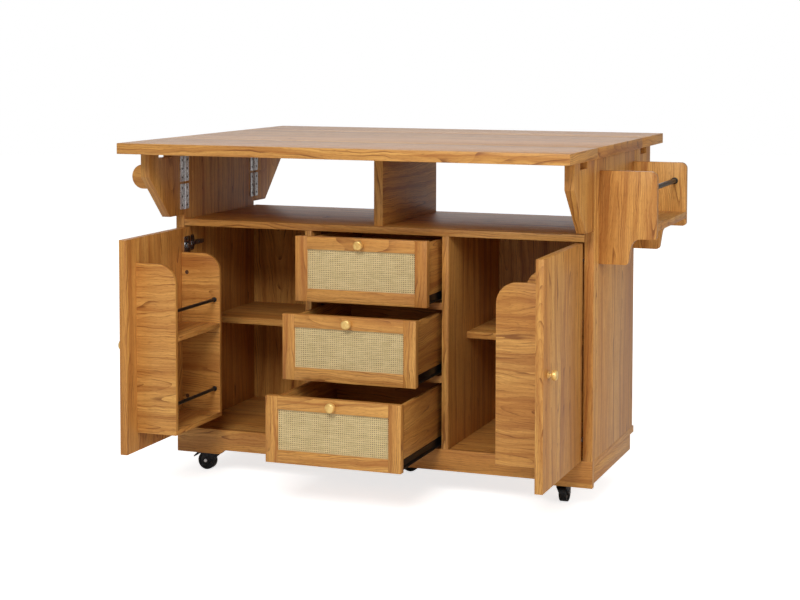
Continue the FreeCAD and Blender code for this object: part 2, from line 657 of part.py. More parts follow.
hinge_low = "layout.door_low + dims.door_hinge_inset"
hinge_high = "layout.door_low + layout.door_height - dims.door_hinge_inset"
DOOR_HINGES = [("lower", hinge_low), ("upper", hinge_high)]
cup_centre = "layout.door_edge - dims.cup_edge - dims.cup_radius"
arms = []
for label, side in (("left", -1), ("right", 1)):
    to_side = Vector(side, 0, 0)
    slab = bar("door_slab_" + label, "dims.door_thick", "layout.door_width", "layout.door_height")
    put(slab, low_side(side, "layout.door_side", "dims.door_thick"), "layout.door_free", "layout.door_low")
    inner_face = "%d * layout.door_inner" % side
    cup_plates = []
    for name, level in DOOR_HINGES:
        tag = "%s_%s" % (label, name)
        cup_plate = bar("cup_plate_" + tag, "dims.hinge_metal", "2 * dims.cup_radius", "dims.cup_plate")
        put(cup_plate, low_side(side, "layout.door_inner", "dims.hinge_metal"), cup_centre + " - dims.cup_radius",
            "%s - dims.cup_plate / 2" % level)
        cup_plates.append(cup_plate)

        foot = bar("arm_foot_" + tag, "dims.hinge_metal", "dims.arm_plate", "dims.arm_plate_height")
        shift(foot, 0 if side < 0 else "-dims.hinge_metal", 0, "-dims.arm_plate_height / 2")
        arm = bar("arm_bar_" + tag, "dims.arm_stand", "dims.arm_length", "dims.arm_height")
        shift(arm, 0 if side < 0 else "-dims.arm_stand", 0, "-dims.arm_height / 2")
        arms.append(put(join("hinge_arm_" + tag, [foot, arm]), "%d * layout.inner_side" % side,
                           "dims.arm_start", level))
    part("door_" + label, slab)

    # The rack: two sides on a bottom board, with a shelf half way up.
    rack_span = "layout.rack_far - layout.rack_near"
    side_height = "layout.rack_top - layout.rack_base - dims.rack_board"
    rack = []
    outline = [
        (0, 0, 0),
        ("dims.rack_depth", 0, 0),
        ("dims.rack_depth", side_height, "dims.rack_round"),
        (0, side_height, 0),
    ]
    for name, spot in (("near", "layout.rack_near"), ("far", "layout.rack_far - dims.rack_board")):
        cheek = profile("rack_cheek_%s_%s" % (name, label), "XZ", outline, "dims.rack_board")
        spot_y = spot
        if side > 0:
            cheek.Placement = Placement(Vector(), Rotation(UPRIGHT, HALF_TURN))
            spot_y = "%s + dims.rack_board" % spot
        rack.append(put(cheek, inner_face, spot_y, "layout.rack_base + dims.rack_board"))
    floor = bar("rack_floor_" + label, "dims.rack_depth", rack_span, "dims.rack_board")
    put(floor, low_side(side, "layout.door_inner", "dims.rack_depth"), "layout.rack_near", "layout.rack_base")
    shelf = bar("rack_shelf_" + label, "dims.rack_depth", "%s - 2 * dims.rack_board" % rack_span,
                "dims.rack_board")
    put(shelf, low_side(side, "layout.door_inner", "dims.rack_depth"), "layout.rack_near + dims.rack_board",
        "layout.rack_base + dims.rack_shelf")
    part("door_rack_" + label, group("door_rack_" + label, rack + [floor, shelf]))

    rails = []
    for name, under in (("lower", "0"), ("upper", "dims.rack_shelf")):
        rail = rod("rack_rail_%s_%s" % (name, label), "dims.rail_rod", "%s - 2 * dims.rack_board" % rack_span,
                   ALONG_Y)
        rails.append(put(rail, "%d * (layout.rack_out + dims.rail_rod_inset)" % side,
                            "layout.rack_near + dims.rack_board",
                            "layout.rack_base + %s + dims.rack_board + dims.rail_rod_rise" % under))
    part("door_fittings_" + label, group("door_fittings_" + label, rails + cup_plates))

    handle = copy_of("door_knob_" + label, knob)
    handle.Placement = Placement(Vector(), Rotation(UPRIGHT, to_side))
    put(handle, "%d * layout.door_side" % side, "layout.door_free + dims.door_knob_inset",
           "layout.door_low + layout.door_height / 2")
    part("door_knob_" + label, handle)
part("door_hinge_arms", group("door_hinge_arms", arms))

# ---------------------------------------------------------------- drawers
# Level 0 is the bottom one. Each stands out by its own opening.

DRAWERS = [("bottom", 0), ("middle", 1), ("top", 2)]
runners = []
for label, level in DRAWERS:
    face = "-dims.open_%s" % label
    low = "(dims.base_top + dims.door_gap + %d * layout.drawer_step)" % level
    border = bar("front_border_" + label, "layout.front_width", "dims.front_thick", "layout.front_height")
    window = bar("front_window_" + label, "layout.front_width - 2 * dims.front_frame",
                 "dims.front_thick", "layout.front_height - 2 * dims.front_frame")
    shift(window, "dims.front_frame", 0, "dims.front_frame")
    rebate = bar("front_rebate_" + label, "layout.front_width - 2 * dims.front_frame + 2 * dims.cane_lip",
                 "dims.front_thick", "layout.front_height - 2 * dims.front_frame + 2 * dims.cane_lip")
    shift(rebate, "dims.front_frame - dims.cane_lip", "dims.cane_setback", "dims.front_frame - dims.cane_lip")
    frame = cut("front_frame_" + label, border, join("front_opening_" + label, [window, rebate]))
    part("drawer_front_" + label, put(frame, "-layout.front_width / 2", face, low))

    cane = bar("cane_panel_" + label, "layout.front_width - 2 * dims.front_frame + 2 * dims.cane_lip",
               "dims.cane_thick", "layout.front_height - 2 * dims.front_frame + 2 * dims.cane_lip")
    put(cane, "-layout.front_width / 2 + dims.front_frame - dims.cane_lip", "%s + dims.cane_setback" % face,
        "%s + dims.front_frame - dims.cane_lip" % low)
    part("cane_panel_" + label, cane)

    start = "%s + dims.front_thick" % face
    floor_level = "%s + dims.box_low" % low
    box = []
    for name, x in (("left", "-layout.box_out"), ("right", "layout.box_out - dims.drawer_board")):
        wall = bar("box_side_%s_%s" % (name, label), "dims.drawer_board", "layout.box_length", "layout.box_height")
        box.append(put(wall, x, start, floor_level))
    across = "2 * layout.box_out - 2 * dims.drawer_board"
    for name, y in (("front", start), ("back", "%s + layout.box_length - dims.drawer_board" % start)):
        wall = bar("box_%s_%s" % (name, label), across, "dims.drawer_board",
                   "layout.box_height - dims.bottom_rise")
        box.append(put(wall, "-(%s) / 2" % across, y, "%s + dims.bottom_rise" % floor_level))
    sheet_length = "layout.box_length - 2 * dims.drawer_board"
    panel = bar("box_bottom_" + label, across, sheet_length, "dims.drawer_bottom")
    box.append(put(panel, "-(%s) / 2" % across, "%s + dims.drawer_board" % start,
                   "%s + dims.bottom_rise" % floor_level))
    part("drawer_box_" + label, group("drawer_box_" + label, box))

    pull = copy_of("drawer_knob_" + label, knob)
    pull.Placement = Placement(Vector(), Rotation(UPRIGHT, Vector(0, -1, 0)))
    put(pull, 0, face, "%s + layout.front_height - dims.front_frame / 2" % low)
    part("drawer_knob_" + label, pull)

    # Each runner pair: an angle under the drawer's side that hangs in a channel on the bay's side.
    metal = "dims.runner_metal"
    web_out = "dims.box_gap - dims.runner_play - %s" % metal
    moving_outline = [
        (0, "dims.runner_height - %s" % metal, 0),
        ("dims.runner_shelf", "dims.runner_height - %s" % metal, 0),
        ("dims.runner_shelf", 0, 0),
        ("dims.runner_shelf + %s" % web_out, 0, 0),
        ("dims.runner_shelf + %s" % web_out, metal, 0),
        ("dims.runner_shelf + %s" % metal, metal, 0),
        ("dims.runner_shelf + %s" % metal, "dims.runner_height", 0),
        (0, "dims.runner_height", 0),
    ]
    channel_outline = [
        (0, 0, 0),
        ("dims.box_gap - dims.runner_play - %s" % metal, 0, 0),
        ("dims.box_gap - dims.runner_play - %s" % metal, "dims.runner_height + 2 * dims.runner_play + %s" % metal, 0),
        ("dims.box_gap - dims.runner_play - 2 * %s" % metal,
         "dims.runner_height + 2 * dims.runner_play + %s" % metal, 0),
        ("dims.box_gap - dims.runner_play - 2 * %s" % metal, metal, 0),
        (0, metal, 0),
    ]
    moving = []
    for name, side in (("left", -1), ("right", 1)):
        tag = "%s_%s" % (name, label)
        slide = profile("drawer_slide_" + tag, "XZ", moving_outline, "layout.runner_length")
        channel = profile("runner_channel_" + tag, "XZ", channel_outline, "layout.runner_length")
        slide_y = start
        channel_y = "dims.front_thick"
        if side < 0:
            for piece in (slide, channel):
                piece.Placement = Placement(Vector(), Rotation(UPRIGHT, HALF_TURN))
            slide_y = "%s + layout.runner_length" % slide_y
            channel_y = "%s + layout.runner_length" % channel_y
        moving.append(put(slide, "%d * (layout.box_out - dims.runner_shelf)" % side, slide_y,
                             "%s - dims.runner_height" % floor_level))
        runners.append(put(channel, "%d * (layout.box_out + dims.runner_play + %s)" % (side, metal), channel_y,
                              "%s - dims.runner_height - dims.runner_play - %s" % (floor_level, metal)))
    part("drawer_slides_" + label, group("drawer_slides_" + label, moving))
part("runner_channels", group("runner_channels", runners))

# ---------------------------------------------------------------- casters
# Drawn about the swivel axis, with the wheel and its brake pedal trailing to -Y.

plate_low = "dims.caster_height - dims.caster_metal"
race_low = "%s - dims.race_height" % plate_low
mount = bar("caster_mount", "dims.caster_plate", "dims.caster_plate", "dims.caster_metal")
shift(mount, "-dims.caster_plate / 2", "-dims.caster_plate / 2", plate_low)
race = shift(rod("caster_race", "dims.race_radius", "dims.race_height"), 0, 0, race_low)
caster_top = join("caster_top", [mount, race])

axle_back = "dims.trail + dims.cheek_end"
ear_back = "dims.pedal_pivot_out + dims.pedal_ear"
cheek_low = "dims.wheel_radius - dims.cheek_end"
cheek_high = "layout.crown_top - (%s)" % cheek_low
cheek_nose = "%s - dims.cheek_drop - dims.race_radius" % cheek_high
ear_top = "dims.pedal_pivot_high + dims.pedal_ear - (%s)" % cheek_low
ear_low = "dims.pedal_pivot_high - dims.pedal_ear - (%s)" % cheek_low
plain_outline = [
    (0, "dims.cheek_bevel", 0),
    ("dims.cheek_bevel", 0, 0),
    ("2 * dims.cheek_end - dims.cheek_bevel", 0, 0),
    ("2 * dims.cheek_end", "dims.cheek_bevel", 0),
    ("%s + dims.cheek_width / 2" % axle_back, cheek_nose, 0),
    ("%s + dims.cheek_width / 2" % axle_back, cheek_high, 0),
    ("%s - dims.cheek_width / 2" % axle_back, cheek_high, 0),
    (0, "2 * dims.cheek_end", 0),
]
axle_foot = "%s - (%s)" % (ear_back, axle_back)
braked_outline = [
    (axle_foot, "dims.cheek_bevel", 0),
    ("%s + dims.cheek_bevel" % axle_foot, 0, 0),
    ("%s + 2 * dims.cheek_end - dims.cheek_bevel" % axle_foot, 0, 0),
    ("%s + 2 * dims.cheek_end" % axle_foot, "dims.cheek_bevel", 0),
    ("%s + dims.cheek_width / 2" % ear_back, cheek_nose, 0),
    ("%s + dims.cheek_width / 2" % ear_back, cheek_high, 0),
    ("%s - dims.cheek_width / 2" % ear_back, cheek_high, 0),
    ("%s - dims.cheek_width / 2 - dims.pedal_ear" % ear_back, ear_top, 0),
    (0, ear_top, 0),
    (0, ear_low, 0),
    ("2 * dims.pedal_ear", ear_low, 0),
    (axle_foot, "2 * dims.cheek_end", 0),
]
axle_span = "2 * layout.fork_inner + 2 * dims.caster_metal"


def make_fork(name, cheek_outline, reach):
    """A fork of two cheeks under a crown, with its axle bolt."""
    crown = bar(name + "_crown", axle_span, "dims.cheek_width", "dims.caster_metal")
    shift(crown, "-(%s) / 2" % axle_span, "-dims.cheek_width / 2", "layout.crown_top - dims.caster_metal")
    pieces = [crown]
    for side_name, x in (("left", "-layout.fork_inner - dims.caster_metal"), ("right", "layout.fork_inner")):
        cheek = profile("%s_cheek_%s" % (name, side_name), "YZ", cheek_outline, "dims.caster_metal")
        pieces.append(shift(cheek, x, "-(%s)" % reach, cheek_low))
    bolt = rod(name + "_bolt", "dims.axle_radius", axle_span, ALONG_X)
    pieces.append(shift(bolt, "-(%s) / 2" % axle_span, "-dims.trail", "dims.wheel_radius"))
    return join(name, pieces)


plain_fork = make_fork("plain_fork", plain_outline, axle_back)
braked_fork = make_fork("braked_fork", braked_outline, ear_back)

wheel = turned("wheel", [
    ("dims.axle_radius + dims.pin_play", 0, 0),
    ("dims.wheel_radius", 0, 0),
    ("dims.wheel_radius", "dims.wheel_width", 0),
    ("dims.axle_radius + dims.pin_play", "dims.wheel_width", 0),
])

# The pedal: a boss between the fork's ears, a tread that slopes out and a shoe over the wheel.
tread_reach = "(dims.pedal_reach - dims.pedal_pivot_out)"
pedal_outline = [
    (0, 0, 0),
    (tread_reach, "dims.pedal_drop - dims.pedal_boss + dims.pedal_thick / 2", 0),
    (tread_reach, "dims.pedal_drop + dims.pedal_boss + dims.pedal_thick / 2", 0),
    (0, "dims.pedal_thick", 0),
]
pedal_low = "-dims.pedal_drop - dims.pedal_thick / 2"
tread = shift(profile("pedal_tread", "YZ", pedal_outline, "dims.pedal_width"),
              "-dims.pedal_width / 2", "-%s" % tread_reach, pedal_low)
shoe = shift(bar("pedal_shoe", "dims.pedal_width", "dims.shoe_width", "dims.pedal_shoe"),
             "-dims.pedal_width / 2", "-dims.shoe_width / 2", "-dims.pedal_shoe")
boss = shift(rod("pedal_boss", "dims.pedal_boss", "dims.pedal_width", ALONG_X), "-dims.pedal_width / 2", 0, 0)
pedal = join("pedal", [tread, boss, shoe])

mounts = []
for label, x, y, spin, (way_x, way_y) in CASTERS:
    turn = Rotation(UPRIGHT, spin)
    mounts.append(put(copy_of("caster_top_" + label, caster_top), x, y, 0))
    braked = label in ("front_left", "front_right")
    fork = copy_of("caster_fork_" + label, braked_fork if braked else plain_fork)
    fork.Placement = Placement(Vector(), turn)
    part("caster_fork_" + label, put(fork, x, y, 0))
    # The axle points across the trail: the wheel starts half its width before the axle's middle.
    rim = copy_of("caster_wheel_" + label, wheel)
    rim.Placement = Placement(Vector(), turn * Rotation(UPRIGHT, ALONG_X))
    rim_x = "%s + %d * dims.trail + %d * dims.wheel_width / 2" % (x, way_x, way_y)
    rim_y = "%s + %d * dims.trail - %d * dims.wheel_width / 2" % (y, way_y, way_x)
    part("caster_wheel_" + label, put(rim, rim_x, rim_y, "dims.wheel_radius"))
    if braked:
        lever = copy_of("brake_pedal_" + label, pedal)
        lever.Placement = Placement(Vector(), turn)
        part("brake_pedal_" + label, put(lever, "%s + %d * dims.pedal_pivot_out" % (x, way_x),
                                            "%s + %d * dims.pedal_pivot_out" % (y, way_y),
                                            "dims.pedal_pivot_high"))
part("caster_plates", group("caster_plates", mounts))

# ---------------------------------------------------------------- check and write

doc.recompute()
faults = [item.Name for item in doc.Objects if "Invalid" in item.State or "Error" in item.State]
if faults:
    raise SystemExit("failed objects: " + ", ".join(faults))
for item in PARTS:
    if item.Shape.isNull() or not item.Shape.isValid() or not item.Shape.Solids:
        raise SystemExit("bad shape: " + item.Label)

os.makedirs("parts", exist_ok=True)
for item in PARTS:
    item.Shape.exportStep("parts/%s.step" % item.Label)
print("%d sub-parts written" % len(PARTS))
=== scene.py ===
import json
import math
import random

import bmesh
import bpy
from mathutils import Matrix, Vector

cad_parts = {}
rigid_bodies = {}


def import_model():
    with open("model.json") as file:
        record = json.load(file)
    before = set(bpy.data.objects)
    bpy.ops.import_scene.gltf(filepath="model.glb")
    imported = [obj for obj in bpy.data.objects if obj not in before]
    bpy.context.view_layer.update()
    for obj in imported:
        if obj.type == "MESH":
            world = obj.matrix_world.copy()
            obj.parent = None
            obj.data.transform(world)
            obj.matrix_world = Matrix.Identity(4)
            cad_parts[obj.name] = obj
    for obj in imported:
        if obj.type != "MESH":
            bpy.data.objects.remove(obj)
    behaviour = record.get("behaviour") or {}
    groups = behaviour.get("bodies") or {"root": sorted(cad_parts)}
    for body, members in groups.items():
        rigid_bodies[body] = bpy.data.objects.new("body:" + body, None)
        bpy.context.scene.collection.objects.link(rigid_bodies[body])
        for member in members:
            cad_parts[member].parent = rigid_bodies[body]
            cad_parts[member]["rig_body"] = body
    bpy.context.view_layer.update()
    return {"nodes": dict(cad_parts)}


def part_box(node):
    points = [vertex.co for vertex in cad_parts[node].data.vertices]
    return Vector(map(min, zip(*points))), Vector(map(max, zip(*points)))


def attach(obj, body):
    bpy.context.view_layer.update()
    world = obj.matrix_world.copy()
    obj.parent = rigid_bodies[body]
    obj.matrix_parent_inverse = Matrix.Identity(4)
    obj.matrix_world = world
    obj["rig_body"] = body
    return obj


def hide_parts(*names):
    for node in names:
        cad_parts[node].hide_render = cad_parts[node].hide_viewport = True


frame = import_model()
bpy.context.scene.view_settings.view_transform = "Standard"

# ---- Camera: a long lens right of the island, a little above it, shifted to keep uprights upright.
eye = bpy.data.objects.new("camera", bpy.data.cameras.new("camera"))
eye.data.lens = 78.408
eye.data.sensor_width = 36
eye.data.shift_y = -0.19
eye.location = (1.6472, -4.4006, 1.17)
eye.rotation_euler = (math.radians(86.5786), math.radians(-0.0866), math.radians(20.5613))
bpy.context.scene.collection.objects.link(eye)
bpy.context.scene.camera = eye


# ---- White studio: a pale floor that keeps the shadow, and a surround that the camera sees white.
def srgb(code):
    """An sRGB hex colour as linear RGBA."""
    parts = [int(code[i : i + 2], 16) / 255 for i in (1, 3, 5)]
    return tuple(c / 12.92 if c <= 0.04045 else ((c + 0.055) / 1.055) ** 2.4 for c in parts) + (1.0,)


def add(tree, kind, inputs=(), **settings):
    """Adds a node: settings are its properties, inputs are sockets, hex colours or values."""
    node = tree.nodes.new(kind if "Node" in kind else "ShaderNode" + kind)
    for name, setting in settings.items():
        setattr(node, name, setting)
    for name, value in dict(inputs).items():
        if isinstance(value, bpy.types.NodeSocket):
            tree.links.new(value, node.inputs[name])
        else:
            node.inputs[name].default_value = srgb(value) if str(value).startswith("#") else value
    return node


def new_material(name):
    """An empty node material, its tree and its output node."""
    material = bpy.data.materials.new(name)
    material.use_nodes = True
    material.node_tree.nodes.clear()
    return material, material.node_tree, add(material.node_tree, "OutputMaterial")


def mesh_object(name, mesh, material, smooth=None):
    """Puts a mesh in the scene, smooth across edges flatter than the given angle."""
    piece = bpy.data.objects.new(name, mesh)
    bpy.context.scene.collection.objects.link(piece)
    mesh.materials.clear()
    mesh.materials.append(material)
    mesh.polygons.foreach_set("use_smooth", [smooth is not None] * len(mesh.polygons))
    if smooth is not None:
        mesh.set_sharp_from_angle(angle=math.radians(smooth))
    return piece


world = bpy.data.worlds.new("studio")
bpy.context.scene.world = world
world.use_nodes = True
sky = world.node_tree
sky.nodes.clear()
path = add(sky, "LightPath")
dim = add(sky, "Background", {"Color": "#ffffff", "Strength": 0.30})
white = add(sky, "Background", {"Color": "#ffffff", "Strength": 1.0})
blend = add(sky, "MixShader", {0: path.outputs["Is Camera Ray"], 1: dim.outputs[0], 2: white.outputs[0]})
add(sky, "OutputWorld", {"Surface": blend.outputs[0]})

floor_paper, tree, out = new_material("white_paper_floor")
path = add(tree, "LightPath")
paint = add(tree, "BsdfDiffuse", {"Color": "#f4f4f2"})
glow = add(tree, "Emission", {"Color": "#ffffff", "Strength": 0.74})
lit = add(tree, "AddShader", {0: paint.outputs[0], 1: glow.outputs[0]})
shown = add(tree, "MixShader", {0: path.outputs["Is Camera Ray"], 1: paint.outputs[0], 2: lit.outputs[0]})
tree.links.new(shown.outputs[0], out.inputs["Surface"])
FLOOR_RADIUS = 14
ground = bmesh.new()
bmesh.ops.create_circle(ground, cap_ends=True, segments=96, radius=FLOOR_RADIUS)
ground_mesh = bpy.data.meshes.new("floor")
ground.to_mesh(ground_mesh)
ground.free()
mesh_object("floor", ground_mesh, floor_paper)

LAMPS_AIM = Vector((0, 0, 0.45))
for name, place, width, height, watts in (
    ("key", (0.7, -4.5, 3.4), 2.2, 1.8, 150),
    ("fill", (4.4, -2.0, 2.0), 2.2, 2.2, 62),
    ("back", (-2.0, 4.6, 3.0), 5.0, 2.2, 62),
):
    lamp = bpy.data.objects.new(name, bpy.data.lights.new(name, "AREA"))
    lamp.data.shape = "RECTANGLE"
    lamp.data.size = width
    lamp.data.size_y = height
    lamp.data.energy = watts
    lamp.location = place
    lamp.rotation_euler = (LAMPS_AIM - Vector(place)).to_track_quat("-Z", "Y").to_euler()
    bpy.context.scene.collection.objects.link(lamp)

# ---- Side panels: 25 mm board, faced and edged with oak-print foil, grain upright.
# The foil is a printed picture of flat-sawn oak: honey ground, soft brown bands, growth lines
# that close into long arches, and short dark pores. A faint pressed grain makes it shine softly.
FOIL = {"light": "#dda659", "honey": "#c88b43", "brown": "#a0612a", "line": "#733f19"}
oak, tree, out = new_material("oak_print_foil")
flat = add(tree, "UVMap", uv_map="grain").outputs["UV"]


def streaks(tree, along, across, detail, source, roughness=0.55):
    """Noise stretched along the grain: features per metre along it and across it."""
    scaled = add(tree, "VectorMath", {0: source, 1: (along, across, 1)}, operation="MULTIPLY").outputs[0]
    noise = add(tree, "TexNoise", {"Vector": scaled, "Scale": 1, "Detail": detail, "Roughness": roughness})
    return noise.outputs[0]


def stained(tree, colour, pattern, low, high, strength, stain):
    """The colour stained where the pattern rises from low to high."""
    amount = add(tree, "MapRange", {0: pattern, 1: low, 2: high, 3: 0.0, 4: strength}).outputs[0]
    return add(tree, "Mix", {0: amount, 6: colour, 7: stain}, data_type="RGBA").outputs[2]


# The grain wanders up to 30 mm over a board's length and up to 6 mm over a hand's width.
slow = add(tree, "MapRange", {0: streaks(tree, 1.6, 4.0, 1.0, flat), 1: 0.0, 2: 1.0, 3: -0.03, 4: 0.03})
quick = add(tree, "MapRange", {0: streaks(tree, 15.0, 24.0, 1.0, flat), 1: 0.0, 2: 1.0, 3: -0.006, 4: 0.006})
sway = add(tree, "Math", {0: slow.outputs[0], 1: quick.outputs[0]}, operation="ADD").outputs[0]
sideways = add(tree, "CombineXYZ", {1: sway}).outputs[0]
waved = add(tree, "VectorMath", {0: flat, 1: sideways}, operation="ADD").outputs[0]
# Contours of one slow noise are the growth lines, and a second noise breaks them up.
RINGS = 30.0
contours = streaks(tree, 0.8, 11.0, 0.0, waved)
growth = add(tree, "Math", {0: contours, 1: RINGS}, operation="MULTIPLY").outputs[0]
ring = add(tree, "Math", {0: growth}, operation="FRACT").outputs[0]
breaks = streaks(tree, 9.0, 55.0, 2.0, waved)
ring_line = add(tree, "Math", {0: ring, 1: breaks}, operation="MULTIPLY").outputs[0]
fibres = streaks(tree, 16.0, 520.0, 3.0, waved, 0.65)
# Bands of about 100 mm, 20 mm and 7 mm, then the lines, the fibres and the pores. Real pores
# are a third as wide, too fine to see from here.
tone = stained(tree, FOIL["light"], streaks(tree, 0.7, 9.0, 2.0, waved), 0.36, 0.64, 1.0, FOIL["honey"])
tone = stained(tree, tone, streaks(tree, 1.3, 44.0, 3.0, waved), 0.46, 0.68, 0.85, FOIL["brown"])
tone = stained(tree, tone, streaks(tree, 2.6, 150.0, 2.0, waved), 0.48, 0.72, 0.55, FOIL["brown"])
tone = stained(tree, tone, ring, 0.35, 1.0, 0.35, FOIL["brown"])
tone = stained(tree, tone, ring_line, 0.44, 0.58, 0.75, FOIL["line"])
tone = stained(tree, tone, fibres, 0.50, 0.74, 0.60, FOIL["brown"])
tone = stained(tree, tone, streaks(tree, 60.0, 1000.0, 1.0, waved), 0.58, 0.72, 0.55, FOIL["line"])
relief = add(tree, "Bump", {"Strength": 0.3, "Distance": 0.0004, "Height": fibres}).outputs[0]
sheen = add(tree, "MapRange", {0: fibres, 1: 0.3, 2: 0.8, 3: 0.36, 4: 0.50}).outputs[0]
foil = add(tree, "BsdfPrincipled", {"Base Color": tone, "Normal": relief, "Roughness": sheen, "IOR": 1.40})
tree.links.new(foil.outputs[0], out.inputs["Surface"])

BOARD_EASE = 0.0009
EASED_ANGLE = 0.7
EASING = {"segments": 2, "affect": "EDGES", "profile": 0.5, "clamp_overlap": True}
REEL_LENGTH = 40
FOIL_REEL = random.Random(11)


def solids(node):
    """Each closed solid of a CAD node as its own mesh, its triangles joined into flat faces."""
    mesh = frame["nodes"][node].data
    spots = [tuple(round(value, 5) for value in vert.co) for vert in mesh.vertices]
    faces, open_edges = [], set()
    for polygon in mesh.polygons:
        faces.append([spots[i] for i in polygon.vertices])
        ends = [(spots[a], spots[b]) for a, b in polygon.edge_keys]
        open_edges ^= {frozenset(pair) for pair in ends if pair[0] != pair[1]}
        if not open_edges:
            bm = bmesh.new()
            corners = {spot: bm.verts.new(spot) for spot in dict.fromkeys(sum(faces, []))}
            for face in faces:
                if len(set(face)) == 3:
                    bm.faces.new([corners[spot] for spot in face])
            bmesh.ops.dissolve_limit(bm, angle_limit=math.radians(0.5), verts=bm.verts, edges=bm.edges)
            faces = []
            yield bm


def ease(bm, radius):
    """Rounds the sharp edges of a mesh."""
    sharp = [e for e in bm.edges if len(e.link_faces) == 2 and e.calc_face_angle(0) > EASED_ANGLE]
    bmesh.ops.bevel(bm, geom=sharp, offset=radius, **EASING)
    bm.normal_update()


def lay_foil(bm, grain=None):
    """Unwraps one board in metres, grain along U: on an end the foil runs along the longer side."""
    layer = bm.loops.layers.uv.new("grain")
    size = [max(v.co[i] for v in bm.verts) - min(v.co[i] for v in bm.verts) for i in range(3)]
    if grain is None:
        grain = size.index(max(size))
    shift = [(FOIL_REEL.uniform(0, REEL_LENGTH), FOIL_REEL.uniform(0, REEL_LENGTH)) for _ in range(3)]
    for face in bm.faces:
        normal = max(range(3), key=lambda i: abs(face.normal[i]))
        plane = [i for i in range(3) if i != normal]
        along = grain if grain in plane else max(plane, key=lambda i: size[i])
        across = plane[0] if plane[1] == along else plane[1]
        for loop in face.loops:
            point = loop.vert.co
            loop[layer].uv = (point[along] + shift[normal][0], point[across] + shift[normal][1])


def board_piece(name, parts, body, node):
    """Joins foiled boards into one piece that rides on a body and stands for a CAD node."""
    points, faces, places = [], [], []
    for bm in parts:
        layer = bm.loops.layers.uv["grain"]
        bm.verts.index_update()
        first = len(points)
        points += [tuple(vert.co) for vert in bm.verts]
        for face in bm.faces:
            faces.append([first + vert.index for vert in face.verts])
            for loop in face.loops:
                places.extend(loop[layer].uv)
        bm.free()
    mesh = bpy.data.meshes.new(name)
    mesh.from_pydata(points, [], faces)
    mesh.uv_layers.new(name="grain").data.foreach_set("uv", places)
    piece = mesh_object(name, mesh, oak, smooth=24)
    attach(piece, body)
    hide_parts(node)


X, Y, Z = range(3)


def boards(node, grains=None, rounding=BOARD_EASE):
    """Foil-faced boards on a CAD node, with a grain direction for each solid or the longest side."""
    parts = []
    for number, bm in enumerate(solids(node)):
        ease(bm, rounding)
        lay_foil(bm, grains[number % len(grains)] if grains else None)
        parts.append(bm)
    board_piece("boards_" + node, parts, frame["nodes"][node]["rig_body"], node)


boards("side_panels", (Z,))

# ---- Inner boards: the dividers, the open shelf, the cupboard floor, back and shelves.
# All are the same foil-faced particle board, dowelled and cam-locked between the side panels.
boards("dividers", (Z, Z, Y))
for node in ("main_shelf", "bottom_board", "inner_shelves"):
    boards(node, (X,))
boards("back_panel", (Z,))

# ---- Top: a fixed board and two leaves of 28 mm board, grain along the island's length.
# The leaves lie on their brackets, hinged to the board beneath. Hands meet these edges, so they
# are rounded more.
TOP_EASE = 0.0014
for node in ("tabletop", "drop_leaves"):
    boards(node, (X,), TOP_EASE)

# ---- Base: the arched front apron, the skirts set under the floor board and the caster blocks.
# The apron ends in a foot at each side. The blocks carry the casters' plates under the floor board.
boards("front_apron", (X,))
boards("base_frame")

# ---- Brackets: four hinged boards with a finger notch, which swing out under the leaves.
# They are 25 mm board with upright grain, each held to a side panel by two butt hinges.
for corner in ("front_left", "front_right", "back_left", "back_right"):
    boards("bracket_" + corner, (Z,))

# ---- Side racks: the spice rack's end boards and shelf, and the towel bar's two ends.
# All are 18 mm board, screwed to the side panels from the inside.
boards("spice_rack", (Z, Z, Y))
boards("towel_ends", (X,))

# ---- Doors and their racks: upright grain on the doors, level grain on the racks' sides.
# A door is 20 mm board, and the 12 mm boards of its rack are screwed together and to it.
for side in ("left", "right"):
    boards("door_" + side, (Z,))
    boards("door_rack_" + side, (X, X, Y, Y))

# ---- Drawers: a framed front, its stiles running full height past the rails, on a plain box.
# The box sides are 12 mm board, held to the front by cam fittings whose heads show outside.
STILE = 0.033
DRAWERS = ("bottom", "middle", "top")


def block(low, high, grain, radius=BOARD_EASE):
    """One foiled board between two corners."""
    bm = bmesh.new()
    low, high = Vector(low), Vector(high)
    place = Matrix.Translation((low + high) / 2) @ Matrix.Diagonal((*(high - low), 1))
    bmesh.ops.create_cube(bm, size=1, matrix=place)
    ease(bm, radius)
    lay_foil(bm, grain)
    return bm


for tier in DRAWERS:
    front = "drawer_front_" + tier
    (x0, y0, z0), (x1, y1, z1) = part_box(front)
    frame_boards = [
        block((x0, y0, z0), (x0 + STILE, y1, z1), Z),
        block((x1 - STILE, y0, z0), (x1, y1, z1), Z),
        block((x0 + STILE, y0, z0), (x1 - STILE, y1, z0 + STILE), X),
        block((x0 + STILE, y0, z1 - STILE), (x1 - STILE, y1, z1), X),
    ]
    board_piece("frame_" + tier, frame_boards, "drawer_" + tier, front)
    boards("drawer_box_" + tier, (Y, Y, X, X, Y))


# ---- Cane panels: plain-woven strands of split rattan, in a rebate behind each drawer's frame.
# The strands are flat and straw coloured, and a dark sheet of painted shade shows in the gaps between them.
def grain_noise(tree, source, scale, detail=2.0):
    """Plain noise over a position, as one value."""
    return add(tree, "TexNoise", {"Vector": source, "Scale": scale, "Detail": detail}).outputs[0]


